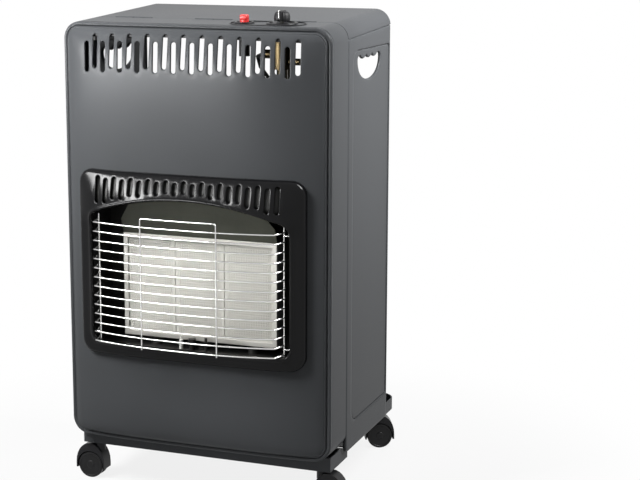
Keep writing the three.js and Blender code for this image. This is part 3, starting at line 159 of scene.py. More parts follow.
def remap(tree, value, low, high, from_low=0.3, from_high=0.7):
    made = node(tree, "ShaderNodeMapRange", {"Value": value, "From Min": from_low, "From Max": from_high,
                                             "To Min": low, "To Max": high})
    return made.outputs["Result"]


def blend_colours(tree, factor, first, second):
    made = node(tree, "ShaderNodeMix", {"Factor": factor}, data_type="RGBA")
    made.inputs["A"].default_value = (*first, 1)
    made.inputs["B"].default_value = (*second, 1)
    return made.outputs["Result"]


def surface(name, light, dark, roughness, grain, stain=5.0, bump=0.05, depth=0.1, metallic=0.0, coat=0.0,
            specular=0.5, coat_roughness=0.05):
    """A material whose colour runs from dark to light in broad stains, with a fine grain in its bump and gloss.
    light and dark are linear colours, roughness is a (low, high) pair and grain is in grains per metre."""
    made = bpy.data.materials.new(name)
    made.use_nodes = True
    tree = made.node_tree
    shader = tree.nodes["Principled BSDF"]
    place = node(tree, "ShaderNodeTexCoord").outputs["Object"]
    broad = noise(tree, place, stain, 4.0, 0.55)
    fine = noise(tree, place, grain, 2.0)
    tree.links.new(blend_colours(tree, remap(tree, broad, 0, 1), dark, light), shader.inputs["Base Color"])
    mixed = node(tree, "ShaderNodeMath", {0: broad, 1: fine}, operation="MULTIPLY").outputs["Value"]
    tree.links.new(remap(tree, mixed, *roughness, 0.15, 0.4), shader.inputs["Roughness"])
    lift = node(tree, "ShaderNodeBump", {"Strength": bump, "Distance": depth * MM, "Height": fine})
    tree.links.new(lift.outputs["Normal"], shader.inputs["Normal"])
    shader.inputs["Metallic"].default_value = metallic
    shader.inputs["Specular IOR Level"].default_value = specular
    shader.inputs["Coat Weight"].default_value = coat
    shader.inputs["Coat Roughness"].default_value = coat_roughness
    return made


paint = surface("charcoal_paint", light=(0.042, 0.044, 0.047), dark=(0.036, 0.038, 0.040),
                roughness=(0.36, 0.46), grain=900, stain=3.0, bump=0.2, depth=0.1, coat=0.09, specular=0.03,
                coat_roughness=0.2)
enamel = surface("black_enamel", light=(0.0035, 0.0035, 0.0038), dark=(0.0025, 0.0025, 0.0028),
                 roughness=(0.16, 0.24), grain=160, stain=6.0, bump=0.1, depth=0.2, coat=0.26, specular=0.01,
                 coat_roughness=0.17)
chrome = surface("chrome_wire", light=(0.68, 0.68, 0.67), dark=(0.58, 0.58, 0.57), roughness=(0.10, 0.24),
                 grain=500, stain=12.0, bump=0.08, depth=0.05, metallic=1.0)
ceramic = surface("plaque_ceramic", light=(0.55, 0.54, 0.50), dark=(0.48, 0.47, 0.43), roughness=(0.85, 0.97),
                  grain=1400, stain=14.0, bump=0.6, depth=0.3, specular=0.06)
reflector = surface("toned_reflector", light=(0.066, 0.069, 0.052), dark=(0.046, 0.048, 0.037),
                    roughness=(0.38, 0.55), grain=300, stain=9.0, bump=0.15, depth=0.15, metallic=0.4,
                    specular=0.3)
# Near black: painted shade for the burner pan's deep inside and for the sheet behind the louvres.
cavity_painted_shade = surface("pan_painted_shade", light=(0.018, 0.018, 0.017), dark=(0.010, 0.010, 0.009), roughness=(0.45, 0.65),
                 grain=400, stain=8.0, bump=0.2, depth=0.2, specular=0.25)
trim = surface("heat_toned_trim", light=(0.46, 0.45, 0.42), dark=(0.36, 0.35, 0.32), roughness=(0.34, 0.46),
               grain=300, stain=20.0, bump=0.1, depth=0.1, metallic=0.5)
zinc = surface("zinc_sheet", light=(0.44, 0.44, 0.43), dark=(0.32, 0.32, 0.32), roughness=(0.28, 0.45),
               grain=220, stain=18.0, bump=0.12, depth=0.1, metallic=0.95)
# Steel darkened far below the zinc: painted shade for the parts deep in the burner's mouth and inside the cabinet.
# The brackets, the lid's hinge pins and the spindle share it.
dark_zinc = surface("darkened_steel_painted_shade", light=(0.060, 0.058, 0.054), dark=(0.030, 0.029, 0.027),
                    roughness=(0.32, 0.5), grain=260, stain=30.0, bump=0.2, depth=0.1, metallic=0.7)
black_steel = surface("black_steel", light=(0.014, 0.014, 0.015), dark=(0.009, 0.009, 0.010),
                      roughness=(0.38, 0.5), grain=900, stain=6.0, bump=0.2, depth=0.12, specular=0.25)
black_plastic = surface("black_moulding", light=(0.010, 0.010, 0.011), dark=(0.006, 0.006, 0.007),
                        roughness=(0.30, 0.42), grain=2600, stain=20.0, bump=0.25, depth=0.1, specular=0.16)
wheel_plastic = surface("wheel_plastic", light=(0.009, 0.009, 0.010), dark=(0.006, 0.006, 0.006),
                        roughness=(0.28, 0.42), grain=1800, stain=30.0, bump=0.2, depth=0.1, specular=0.18)
red_plastic = surface("red_button", light=(0.46, 0.020, 0.018), dark=(0.34, 0.012, 0.012),
                      roughness=(0.25, 0.35), grain=1500, stain=60.0, bump=0.15, depth=0.05)
# White for the knob's line: partly its marking, partly a painted highlight.
white_line_and_painted_highlight = surface("white_line_and_painted_highlight", light=(0.80, 0.80, 0.78), dark=(0.70, 0.70, 0.68), roughness=(0.4, 0.5),
                     grain=1500, stain=60.0, bump=0.1, depth=0.05)
# Brass far darker than bright brass: painted shade for the valve, manifold and inlet seen inside the cabinet.
brass = surface("brass_painted_shade", light=(0.11, 0.084, 0.044), dark=(0.055, 0.042, 0.024), roughness=(0.28, 0.45),
                grain=700, stain=25.0, bump=0.2, depth=0.15, metallic=1.0)
# Copper far darker than bright copper: painted shade for the pipe seen inside the cabinet.
copper = surface("copper_painted_shade", light=(0.20, 0.100, 0.060), dark=(0.110, 0.055, 0.036), roughness=(0.25, 0.42),
                 grain=500, stain=30.0, bump=0.1, depth=0.1, metallic=1.0)
porcelain = surface("glazed_porcelain", light=(0.70, 0.70, 0.67), dark=(0.60, 0.59, 0.55),
                    roughness=(0.15, 0.25), grain=900, stain=40.0, bump=0.05, depth=0.05, coat=0.6)
lead_rubber = surface("silicone_lead", light=(0.012, 0.012, 0.012), dark=(0.008, 0.008, 0.008),
                      roughness=(0.45, 0.6), grain=1600, stain=25.0, bump=0.2, depth=0.1, specular=0.25)


# ---------------------------------------------------------------- making pieces
def dress(piece, body, material, nodes=(), angle=35):
    """Gives a piece its finish, shades it smooth up to an angle, and puts it on its body."""
    piece.data.materials.clear()
    piece.data.materials.append(material)
    if piece.type == "MESH":
        piece.data.shade_smooth()
        piece.data.set_sharp_from_angle(angle=math.radians(angle))
    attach(piece, body)
    if nodes:
        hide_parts(*nodes)
    return piece


def mesh_piece(name, points, faces):
    mesh = bpy.data.meshes.new(name)
    mesh.from_pydata(to_frame(points), [], [list(f) for f in faces])
    mesh.validate()
    piece = bpy.data.objects.new(name, mesh)
    bpy.context.scene.collection.objects.link(piece)
    return piece


def thicken(piece, thickness):
    """Gives a skin its wall on the side away from its normals."""
    solid = piece.modifiers.new("wall", "SOLIDIFY")
    solid.thickness = thickness * MM
    solid.offset = -1
    solid.use_even_offset = False


def soften(piece, width, segments=2, angle=35):
    edge = piece.modifiers.new("edges", "BEVEL")
    edge.width = width * MM
    edge.segments = segments
    edge.limit_method = "ANGLE"
    edge.angle_limit = math.radians(angle)
    edge.harden_normals = True


def refined(cad_node, body, material, edge=0.4, segments=2, name=None):
    """A copy of a CAD node with merged corners, softened edges and smooth curves."""
    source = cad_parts[cad_node]
    mesh = source.data.copy()
    work = bmesh.new()
    work.from_mesh(mesh)
    bmesh.ops.remove_doubles(work, verts=work.verts, dist=1e-6)
    bmesh.ops.dissolve_limit(work, angle_limit=math.radians(0.6), verts=work.verts, edges=work.edges)
    work.to_mesh(mesh)
    work.free()
    for attribute in [a.name for a in mesh.attributes if a.name == "custom_normal"]:
        mesh.attributes.remove(mesh.attributes[attribute])
    piece = bpy.data.objects.new(name or cad_node + "_finished", mesh)
    bpy.context.scene.collection.objects.link(piece)
    if edge:
        soften(piece, edge, segments)
    return dress(piece, body, material, [cad_node])


def arc(cx, cy, radius, start, end, steps):
    angles = np.linspace(math.radians(start), math.radians(end), steps + 1)
    return [(cx + radius * math.cos(a), cy + radius * math.sin(a)) for a in angles]


def rounded_rectangle(x0, x1, y0, y1, r, steps=8):
    return (arc(x1 - r, y0 + r, r, -90, 0, steps) + arc(x1 - r, y1 - r, r, 0, 90, steps)
            + arc(x0 + r, y1 - r, r, 90, 180, steps) + arc(x0 + r, y0 + r, r, 180, 270, steps))


def slot_outline(x, width, bottom, top, steps=6):
    r = width / 2
    return arc(x, top - r, r, 0, 180, steps) + arc(x, bottom + r, r, 180, 360, steps)


def bend(start, control, end, steps):
    """Points along a curve that leaves start and reaches end in the directions of control."""
    a, b, c = (np.array(p) for p in (start, control, end))
    return [tuple((1 - t) ** 2 * a + 2 * t * (1 - t) * b + t**2 * c) for t in np.linspace(0, 1, steps + 1)]


def divided(polygon, step):
    """A closed polygon with no side longer than step."""
    made = []
    for a, b in zip(polygon, polygon[1:] + polygon[:1]):
        count = max(1, math.ceil(math.dist(a, b) / step))
        made += [(a[0] + (b[0] - a[0]) * i / count, a[1] + (b[1] - a[1]) * i / count) for i in range(count)]
    return made


def offset(polygon, distance):
    """A closed anticlockwise polygon moved outwards by a distance, or inwards where it is negative."""
    p = np.asarray(polygon, float)
    before = p - np.roll(p, 1, axis=0)
    after = np.roll(p, -1, axis=0) - p
    before /= np.linalg.norm(before, axis=1)[:, None]
    after /= np.linalg.norm(after, axis=1)[:, None]
    first = np.stack([before[:, 1], -before[:, 0]], axis=1)
    second = np.stack([after[:, 1], -after[:, 0]], axis=1)
    share = 1 + (first * second).sum(axis=1)
    return p + distance * (first + second) / share[:, None]


def contains(polygon, points):
    """Which points lie inside a closed polygon."""
    x, y = points[:, 0], points[:, 1]
    found = np.zeros(len(points), bool)
    corners = np.asarray(polygon)
    for (x0, y0), (x1, y1) in zip(corners, np.roll(corners, -1, axis=0)):
        if y0 != y1:
            found ^= ((y0 > y) != (y1 > y)) & (x < x0 + (y - y0) * (x1 - x0) / (y1 - y0))
    return found


def rolled(radius, steps=4):
    """How deep a sheet's rolled edge lies at each distance from the cut: [distance, depth] pairs."""
    pairs = []
    for i in range(steps + 1):
        angle = math.pi / 2 * i / steps
        pairs.append((radius * (1 - math.cos(angle)), radius * (1 - math.sin(angle))))
    return pairs


def plate(outline, edge, holes, step, fields=()):
    """A flat sheet with holes as triangles: points, the depth added at each, faces, and each border's points.
    edge and each hole's profile are [distance from the cut, depth] pairs. A field is an outline with such pairs
    from inside to outside of it, and what lies within has the first pair's depth."""
    points, depths, links, loops = [], [], [], []

    def ring(polygon, depth):
        start = len(points)
        points.extend(map(tuple, polygon))
        depths.extend([depth] * len(polygon))
        links.extend((start + i, start + (i + 1) % len(polygon)) for i in range(len(polygon)))

    loops.append(range(len(outline)))
    for distance, depth in edge:
        ring(offset(outline, -distance), depth)
    for hole, profile in holes:
        loops.append(range(len(points), len(points) + len(hole)))
        for distance, depth in profile:
            ring(offset(hole, distance), depth)
    for field, profile in fields:
        for distance, depth in profile:
            ring(offset(field, distance), depth)
    low, high = np.min(outline, axis=0), np.max(outline, axis=0)
    counts = np.ceil((high - low) / step).astype(int)
    grid = np.stack(np.meshgrid(np.linspace(low[0], high[0], counts[0] + 1),
                                np.linspace(low[1], high[1], counts[1] + 1)), axis=-1).reshape(-1, 2)
    keep = contains(offset(outline, -edge[-1][0] - step / 2), grid)
    for hole, profile in holes:
        keep &= ~contains(offset(hole, profile[-1][0] + step / 2), grid)
    sunk = np.zeros(len(grid))
    for field, profile in fields:
        inside = contains(offset(field, profile[0][0] - step / 3), grid)
        keep &= inside | ~contains(offset(field, profile[-1][0] + step / 3), grid)
        sunk[inside] = profile[0][1]
    points.extend(map(tuple, grid[keep]))
    depths.extend(sunk[keep])
    flat, _, faces, origins, _, _ = geometry.delaunay_2d_cdt([Vector(p) for p in points], links, [], 0, 1e-5)
    flat = np.array([tuple(p) for p in flat])
    depth = np.array([depths[o[0]] for o in origins])
    middles = np.array([flat[list(f)].mean(axis=0) for f in faces])
    keep = contains(outline, middles)
    for hole, _ in holes:
        keep &= ~contains(hole, middles)
    faces = [f for f, kept in zip(faces, keep) if kept]
    place = {o: i for i, found in enumerate(origins) for o in found}
    return flat, depth, faces, [[place[i] for i in loop] for loop in loops]


def skirt(points, faces, rim, rows):
    """Adds rows of points behind a rim of the sheet, each row a list of points, and the faces between them."""
    last = rim
    for row in rows:
        start = len(points)
        points.extend(row)
        fresh = list(range(start, start + len(row)))
        for i in range(len(last)):
            j = (i + 1) % len(last)
            faces.append((last[j], last[i], fresh[i], fresh[j]))
        last = fresh


def lathe(profile, segments=48):
    """Points and faces of a turned solid about Z from (radius, z) pairs that start and end on the axis."""
    points, faces, rings = [], [], []
    for r, z in profile:
        start = len(points)
        if r == 0:
            points.append((0, 0, z))
            rings.append([start] * segments)
        else:
            for i in range(segments):
                a = 2 * math.pi * i / segments
                points.append((r * math.cos(a), r * math.sin(a), z))
            rings.append(list(range(start, start + segments)))
    for low, high in zip(rings, rings[1:]):
        for i in range(segments):
            j = (i + 1) % segments
            face = [low[i], low[j], high[j], high[i]]
            kept = [v for n, v in enumerate(face) if v not in face[:n]]
            if len(kept) > 2:
                faces.append(kept)
    return points, faces


def moved(points, matrix):
    return [tuple(matrix @ Vector(p)) for p in points]


def wires(name, routes, radius, material, body, nodes=()):
    """Round wires or pipes along smooth routes, as one piece."""
    curve = bpy.data.curves.new(name, "CURVE")
    curve.dimensions = "3D"
    curve.bevel_depth = radius * MM
    curve.bevel_resolution = 3
    curve.use_fill_caps = True
    for route in routes:
        line = curve.splines.new("POLY")
        line.points.add(len(route) - 1)
        for point, place in zip(line.points, to_frame(route)):
            point.co = (*place, 1)
    piece = bpy.data.objects.new(name, curve)
    bpy.context.scene.collection.objects.link(piece)
    return dress(piece, body, material, nodes)


def bent_route(corners, radius, steps=6):
    """A straight-sided route whose inner corners are rounded."""
    p = [Vector(q) for q in corners]
    route = [tuple(p[0])]
    for a, b, c in zip(p, p[1:], p[2:]):
        into, out = (b - a).normalized(), (c - b).normalized()
        cut = min(radius, (b - a).length / 2, (c - b).length / 2)
        start, end = b - into * cut, b + out * cut
        for i in range(steps + 1):
            t = i / steps
            route.append(tuple((1 - t) ** 2 * start + 2 * t * (1 - t) * b + t**2 * end))
    route.append(tuple(p[-1]))
    return route


# ---------------------------------------------------------------- front unit
def vent_rise(x):
    """How far the arched row of slots stands above its ends."""
    return vents.arch_rise * (1 - (x / (vents.pitch * vents.count / 2)) ** 2)


def make_front_panel():
    """Pressed sheet: a rolled rim, a groove, a pillow, vent slots and the burner's mouth."""
    outline = divided(rounded_rectangle(-cabinet.half, cabinet.half, cabinet.bottom, cabinet.top,
                                        cabinet.corner, 10), 10)
    holes = []
    for i in range(vents.count):
        x = (i - (vents.count - 1) / 2) * vents.pitch
        rise = vent_rise(x)
        bottom, top = vents.low if i % 2 == 0 else vents.high
        holes.append((slot_outline(x, vents.width, bottom + rise, top + rise), rolled(vents.roll)))
    mouth = divided(rounded_rectangle(-pan.half + pan.mouth_inset, pan.half - pan.mouth_inset,
                                      pan.bottom + pan.mouth_inset, pan.top - pan.mouth_inset,
                                      surround.open_corner, 5), 12)
    holes.append((mouth, [(0, 0)]))
    flat, depth, faces, borders = plate(outline, cabinet.rim, holes, 7)
    y = panel_front(flat[:, 0], flat[:, 1]) + depth
    points = [(x, deep, z) for (x, z), deep in zip(flat, y)]
    skirt(points, faces, borders[0], [[(points[i][0], cabinet.rim_depth, points[i][2]) for i in borders[0]]])
    piece = mesh_piece("front_panel_sheet", points, faces)
    thicken(piece, wall.sheet)
    return dress(piece, "front_unit", paint, ["front_panel"], 50)


def arch_outline():
    """The surround's opening: straight sides, round lower corners and an arched top."""
    s = surround
    shoulder = s.open_shoulder + s.open_corner / 3
    lower = arc(s.open_half - s.open_corner, s.open_bottom + s.open_corner, s.open_corner, -90, 0, 6)
    right = lower + bend((s.open_half, s.open_shoulder - s.open_corner), (s.open_half, s.open_shoulder),
                         (s.open_half - s.open_corner, shoulder), 6)
    top = bend((s.open_half - s.open_corner, shoulder), (0, 2 * s.open_crown - s.open_shoulder),
               (-s.open_half + s.open_corner, shoulder), 30)
    left = [(-x, z) for x, z in reversed(right)]
    return right + top[1:-1] + left


def arch_height(x):
    """Z of the opening's arched top edge."""
    s = surround
    start = s.open_shoulder + s.open_corner / 3
    t = (1 - x / (s.open_half - s.open_corner)) / 2
    return start * ((1 - t) ** 2 + t**2) + 2 * t * (1 - t) * (2 * s.open_crown - s.open_shoulder)


def make_surround():
    """Glossy enamelled frame with a hood, rolled louvres and a rolled lip round its opening."""
    s = surround
    outline = divided(rounded_rectangle(-s.half, s.half, s.bottom, s.top, s.corner, 10), 8)
    opening = divided(arch_outline(), 8)
    holes = [(opening, s.lip)]
    last = (louvres.count - 1) / 2
    for i in range(louvres.count):
        x = (i - last) * louvres.pitch
        rise = louvres.arch_rise * (1 - (x / (last * louvres.pitch)) ** 2)
        drop = louvres.stagger * (i % 2)
        bottom = max(louvres.side_bottom + rise, arch_height(x) + louvres.above_lip) + louvres.stagger - drop
        holes.append((slot_outline(x, louvres.width, bottom, louvres.top - drop), rolled(louvres.roll)))
    flat, depth, faces, borders = plate(outline, rolled(s.roll, 6), holes, 5)
    y = surround_front(flat[:, 0], flat[:, 1]) + depth
    points = [(x, deep, z) for (x, z), deep in zip(flat, y)]
    back = [(points[i][0], float(panel_front(points[i][0], points[i][2])) - gap, points[i][2]) for i in borders[0]]
    skirt(points, faces, borders[0], [back])
    piece = mesh_piece("burner_surround_enamel", points, faces)
    thicken(piece, wall.enamel)
    return dress(piece, "front_unit", enamel, ["burner_surround"], 50)


def make_louvre_shade_sheet():
    """A dark sheet behind the hood's louvres, put there as painted shade to darken what shows through them."""
    points = []
    xs = np.linspace(-louvres.baffle_half, louvres.baffle_half, 31)
    for share in np.linspace(0, 1, 6):
        for x in xs:
            low = arch_height(x) + louvres.above_lip - louvres.baffle_below
            z = low + share * (louvres.top + louvres.baffle_above - low)
            points.append((x, float(surround_front(x, z)) + louvres.baffle_behind, z))
    n = len(xs)
    faces = [(row * n + i, row * n + i + 1, row * n + i + 1 + n, row * n + i + n)
             for row in range(5) for i in range(n - 1)]
    sheet = mesh_piece("louvre_painted_shade_sheet", points, faces)
    thicken(sheet, wall.thin)
    dress(sheet, "front_unit", cavity_painted_shade)


def plaque_centres():
    return [(i - (plaque.count - 1) / 2) * plaque.pitch for i in range(plaque.count)]


def make_plaque(name, centre):
    """A ceramic tile with rows of flame holes."""
    pitch, hole, deep = plaque.hole_pitch, plaque.hole_radius, plaque.hole_depth
    columns, rows = round(plaque.width / pitch), round(plaque.height / pitch)
    x0, z0 = centre - plaque.width / 2, plaque.centre_z - plaque.height / 2
    across, up = plaque.width / columns, plaque.height / rows
    y0, back = plaque.front, plaque.front + plaque.thickness
    wide = 2 * columns + 1
    points = [(x0 + across * i / 2, y0, z0 + up * j / 2) for j in range(2 * rows + 1) for i in range(wide)]
    faces = []
    turn = [(-1, -1), (0, -1), (1, -1), (1, 0), (1, 1), (0, 1), (-1, 1), (-1, 0)]
    for j in range(rows):
        for i in range(columns):
            border = [(2 * j + 1 + b) * wide + 2 * i + 1 + a for a, b in turn]
            if i in (0, columns - 1) or j in (0, rows - 1):
                faces.append(border)
                continue
            cx, cz = x0 + across * (i + 0.5), z0 + up * (j + 0.5)
            rings = []
            for y in (y0, y0 + deep):
                start = len(points)
                for a, b in turn:
                    angle = math.atan2(b, a)
                    points.append((cx + hole * math.cos(angle), y, cz + hole * math.sin(angle)))
                rings.append(list(range(start, start + 8)))
            for first, second in ((border, rings[0]), rings):
                faces += [(first[n], first[(n + 1) % 8], second[(n + 1) % 8], second[n]) for n in range(8)]
            faces.append(rings[1])
    bottom = list(range(wide))
    top = [2 * rows * wide + i for i in reversed(range(wide))]
    right = [j * wide + wide - 1 for j in range(1, 2 * rows)]
    left = [j * wide for j in reversed(range(1, 2 * rows))]
    rim = bottom + right + top + left
    skirt(points, faces, rim, [[(points[i][0], back, points[i][2]) for i in rim]])
    faces.append(list(range(len(points) - len(rim), len(points)))[::-1])
    piece = mesh_piece(name + "_tile", points, faces)
    return dress(piece, "front_unit", ceramic, [name], 30)


def guard_bow(x):
    return guard.bow_y + (guard.corner_y - guard.bow_y) * abs(x / guard.post_x) ** guard.bow_power


def make_guard():
    """Bowed cross wires that turn back to two posts, hooks behind the surround and the front loop."""
    back = float(surround_front(guard.hook_out, plaque.centre_z)) + guard.behind + gap + guard.wire
    span = np.linspace(-guard.post_x + guard.bow_end, guard.post_x - guard.bow_end, 25)
    routes = []
    for i in range(guard.count):
        z = guard.bottom + i * (guard.top - guard.bottom) / (guard.count - 1)
        bow = [(x, guard_bow(x), z) for x in span]
        ends = [(guard.post_x, guard.corner_y, z), (guard.post_x, back, z)]
        mirrored = [(-x, y, z) for x, y, z in reversed(ends)]
        bends = [bent_route(corners, guard.corner_bend) for corners in (mirrored, ends)]
        routes.append(bends[0][:-1] + bow + bends[1][1:])
    for side_sign in (-1, 1):
        x = side_sign * (guard.post_x - 2 * guard.wire)
        routes.append([(x, back, guard.post_foot), (x, back, guard.post_head)])
        for z in guard.hooks:
            routes.append([(x, back, z), (side_sign * guard.hook_out, back, z)])
    y = guard_bow(guard.loop_x) - 1.6 * guard.wire
    crown = guard_bow(0) - 1.6 * guard.wire
    top = [(x, crown + (y - crown) * (x / guard.loop_x) ** 2, guard.loop_top)
           for x in np.linspace(guard.loop_bend - guard.loop_x, guard.loop_x - guard.loop_bend, 13)]
    foot = guard.bottom - guard.loop_foot
    left = bent_route([(-guard.loop_x, y, foot), (-guard.loop_x, y, guard.loop_top), top[0]], guard.loop_bend)
    right = bent_route([top[-1], (guard.loop_x, y, guard.loop_top), (guard.loop_x, y, foot)], guard.loop_bend)
    wires("wire_guard_loop", [left[:-1] + top + right[1:]], guard.wire, chrome, "front_unit")
    wires("wire_guard_wires", routes, guard.wire, chrome, "front_unit",
          ["wire_guard", "guard_end_left", "guard_end_right"])


def on_roof(x, y):
    """Places a turned piece on the sloping roof."""
    tilt = Matrix.Rotation(math.atan(cabinet.slope), 4, "X")
    return Matrix.Translation((x, y, roof_at(y) + gap)) @ tilt


def make_bezel(name, at, height):
    r, bore, web = at.bezel, at.bezel_bore, bezel_web
    profile = [(bore, 0), (r, 0), (r, 0.5 * height), (r - 0.5, 0.85 * height), (r - 1.4, height),
               (r - 3.2, height), (r - 4.2, web), (bore, web), (bore, 0)]
    points, faces = lathe(profile)
    piece = mesh_piece(name + "_ring", moved(points, on_roof(at.x, at.y)), faces)
    return dress(piece, "front_unit", black_plastic, [name], 40)


def make_control_ring():
    """The raised dark outline of the control plate on the roof, round the knob and the button."""
    c = control
    outline = arc(c.left, knob.y, c.radius, 90, 270, 20) + arc(c.right, knob.y, c.radius, 270, 450, 20)
    rows = [(0, 0.05), (0, c.height - 0.4), (0.4, c.height), (c.band - 0.4, c.height), (c.band, c.height - 0.4),
            (c.band, 0.05)]
    points = [(x, y, roof_at(y) + lift) for inset, lift in rows for x, y in offset(outline, -inset)]
    n = len(outline)
    faces = [(row * n + i, row * n + (i + 1) % n, (row + 1) % len(rows) * n + (i + 1) % n,
              (row + 1) % len(rows) * n + i) for row in range(len(rows)) for i in range(n)]
    dress(mesh_piece("control_plate_outline", points, faces), "front_unit", black_plastic)


def make_vent_strip():
    """The wrapper's dark inner flange, which closes the upper slots' heads."""
    points = []
    xs = np.linspace(-vents.strip_half, vents.strip_half, 41)
    for lift in (-vents.strip_drop, vents.strip_rise):
        for x in xs:
            z = vents.high[1] + vent_rise(x) + lift
            points.append((x, float(panel_front(x, z)) + vents.strip_behind, z))
    faces = [(i, i + 1, i + 1 + len(xs), i + len(xs)) for i in range(len(xs) - 1)]
    strip = mesh_piece("vent_strip", points, faces)
    thicken(strip, wall.thin)
    dress(strip, "front_unit", black_steel)


def make_knob():
    """Fluted dome that sits in its bezel's recess, and a pointer bar with a white line that is partly the knob's
    marking and partly a painted highlight.
    """
    g = knob.grip
    floor = roof_at(knob.y + g) + gap + knob.travel + knob.lift
    top = floor + knob.height
    profile = [(0, floor), (g + 0.2, floor), (g + 0.8, floor + 0.6), (g + 0.8, floor + 4), (g + 0.4, top - 6),
               (g - 0.2, top - 4), (g - 1.4, top - 2), (g - 3.2, top - 0.8), (g - 6, top - 0.1), (0, top)]
    points, faces = lathe(profile, 72)
    fluted = []
    for x, y, z in points:
        r = math.hypot(x, y)
        if z > floor + 1 and r > 2:
            wave = knob.flute_depth * math.cos(knob.flutes * math.atan2(y, x))
            x, y = x * (1 + wave / r), y * (1 + wave / r)
        fluted.append((x + knob.x, y + knob.y, z))
    body = mesh_piece("control_knob_body", fluted, faces)
    dress(body, "knob", black_plastic, ["control_knob"], 45)
    bar = box_piece("control_knob_bar", (knob.x - knob.bar_half, knob.x + knob.bar_half),
                    (knob.y - g - 3, knob.y + g - 1), (floor + 1, top + 1.2))
    soften(bar, 2, 4)
    dress(bar, "knob", black_plastic)
    # The white line is partly the knob's marking, partly a painted highlight.
    mark = box_piece("control_knob_line_and_highlight", (knob.x - knob.mark_half, knob.x + knob.mark_half),
                     (knob.y - g - 3.1, knob.y - g + 3), (floor + 5, top + 1.3))
    soften(mark, 0.2, 1)
    dress(mark, "knob", white_line_and_painted_highlight)


def box_piece(name, xs, ys, zs):
    points = [(x, y, z) for z in zs for y in ys for x in xs]
    faces = [(0, 2, 3, 1), (4, 5, 7, 6), (0, 1, 5, 4), (2, 6, 7, 3), (0, 4, 6, 2), (1, 3, 7, 5)]
    return mesh_piece(name, points, faces)


def make_igniter_button():
    low = roof_at(igniter.y) - 1 + igniter.travel + gap
    h = igniter.button / 2
    outline = rounded_rectangle(igniter.x - h, igniter.x + h, igniter.y - h, igniter.y + h,
                                igniter.button_corner, 5)
    levels = [(0.6, low), (0, low + 0.6), (0.15, low + igniter.button_height - 1.2),
              (0.5, low + igniter.button_height - 0.4), (1.3, low + igniter.button_height)]
    points, faces = [], []
    for inset, z in levels:
        points += [(x, y, z) for x, y in offset(outline, -inset)]
    n = len(outline)
    for row in range(len(levels) - 1):
        faces += [(row * n + i, row * n + (i + 1) % n, (row + 1) * n + (i + 1) % n, (row + 1) * n + i)
                  for i in range(n)]
    faces += [list(range(n))[::-1], list(range((len(levels) - 1) * n, len(levels) * n))]
    cap = mesh_piece("igniter_button_cap", points, faces)
    dress(cap, "igniter", red_plastic, ["igniter_button"], 50)
    foot_points, foot_faces = lathe([(0, low - igniter.foot_length), (igniter.foot, low - igniter.foot_length),
                                     (igniter.foot, low + 0.4), (0, low + 0.4)], 32)
    centred = [(x + igniter.x, y + igniter.y, z) for x, y, z in foot_points]
    dress(mesh_piece("igniter_button_foot", centred, foot_faces), "igniter", red_plastic)


# ---------------------------------------------------------------- folding sides
def grip_outline():
    """The hand hole: a rounded bowl below and finger scallops above, in Y and Z, anticlockwise."""
    p = side
    y0 = p.front + (p.length - p.grip_length) / 2
    y1 = y0 + p.grip_length
    shoulder, floor = p.grip_top - p.grip_corner, p.grip_bottom - p.grip_corner
    pitch = p.grip_length / (p.scallops + 1)
    made = [(y0 * ((1 - t) ** 3 + 3 * (1 - t) ** 2 * t) + y1 * (3 * (1 - t) * t**2 + t**3),
             shoulder * ((1 - t) ** 3 + t**3) + floor * 3 * t * (1 - t)) for t in np.linspace(0, 1, 25)][:-1]
    made += bend((y1, shoulder), (y1, p.grip_top), (y1 - pitch / 2, p.grip_top), 4)[:-1]
    for i in range(p.scallops, 0, -1):
        start = y0 + (i + 0.5) * pitch
        made += bend((start, p.grip_top), (start - pitch / 2, p.grip_top - 2 * p.scallop_depth),
                     (start - pitch, p.grip_top), 6)[:-1]
    return made + bend((y0 + pitch / 2, p.grip_top), (y0, p.grip_top), (y0, shoulder), 4)[:-1]


def make_knuckles(name, sign, body):
    """The panel's hinge barrels, each on a strap to the panel's inner face."""
    for n, level in enumerate(hinge.levels):
        low = level + hinge.knuckle + gap
        high = low + hinge.knuckle - hinge.shorter
        r, bore = hinge.barrel, hinge.bore
        ring, ring_faces = lathe([(bore, low), (r - 0.3, low), (r, low + 0.3), (r, high - 0.3), (r - 0.3, high),
                                  (bore, high), (bore, low)], 28)
        placed = [(x + sign * hinge.x, y + hinge.y, z) for x, y, z in ring]
        knuckle = mesh_piece(f"{name}_knuckle_{n + 1}", placed, ring_faces)
        dress(knuckle, body, zinc)
        xs = sorted((sign * hinge.x, sign * (cabinet.half - side.thickness + hinge.strap_bite)))
        strap = box_piece(f"{name}_strap_{n + 1}", xs, (hinge.y + hinge.strap[0], hinge.y + hinge.strap[1]),
                          (low, high))
        dress(strap, body, zinc)


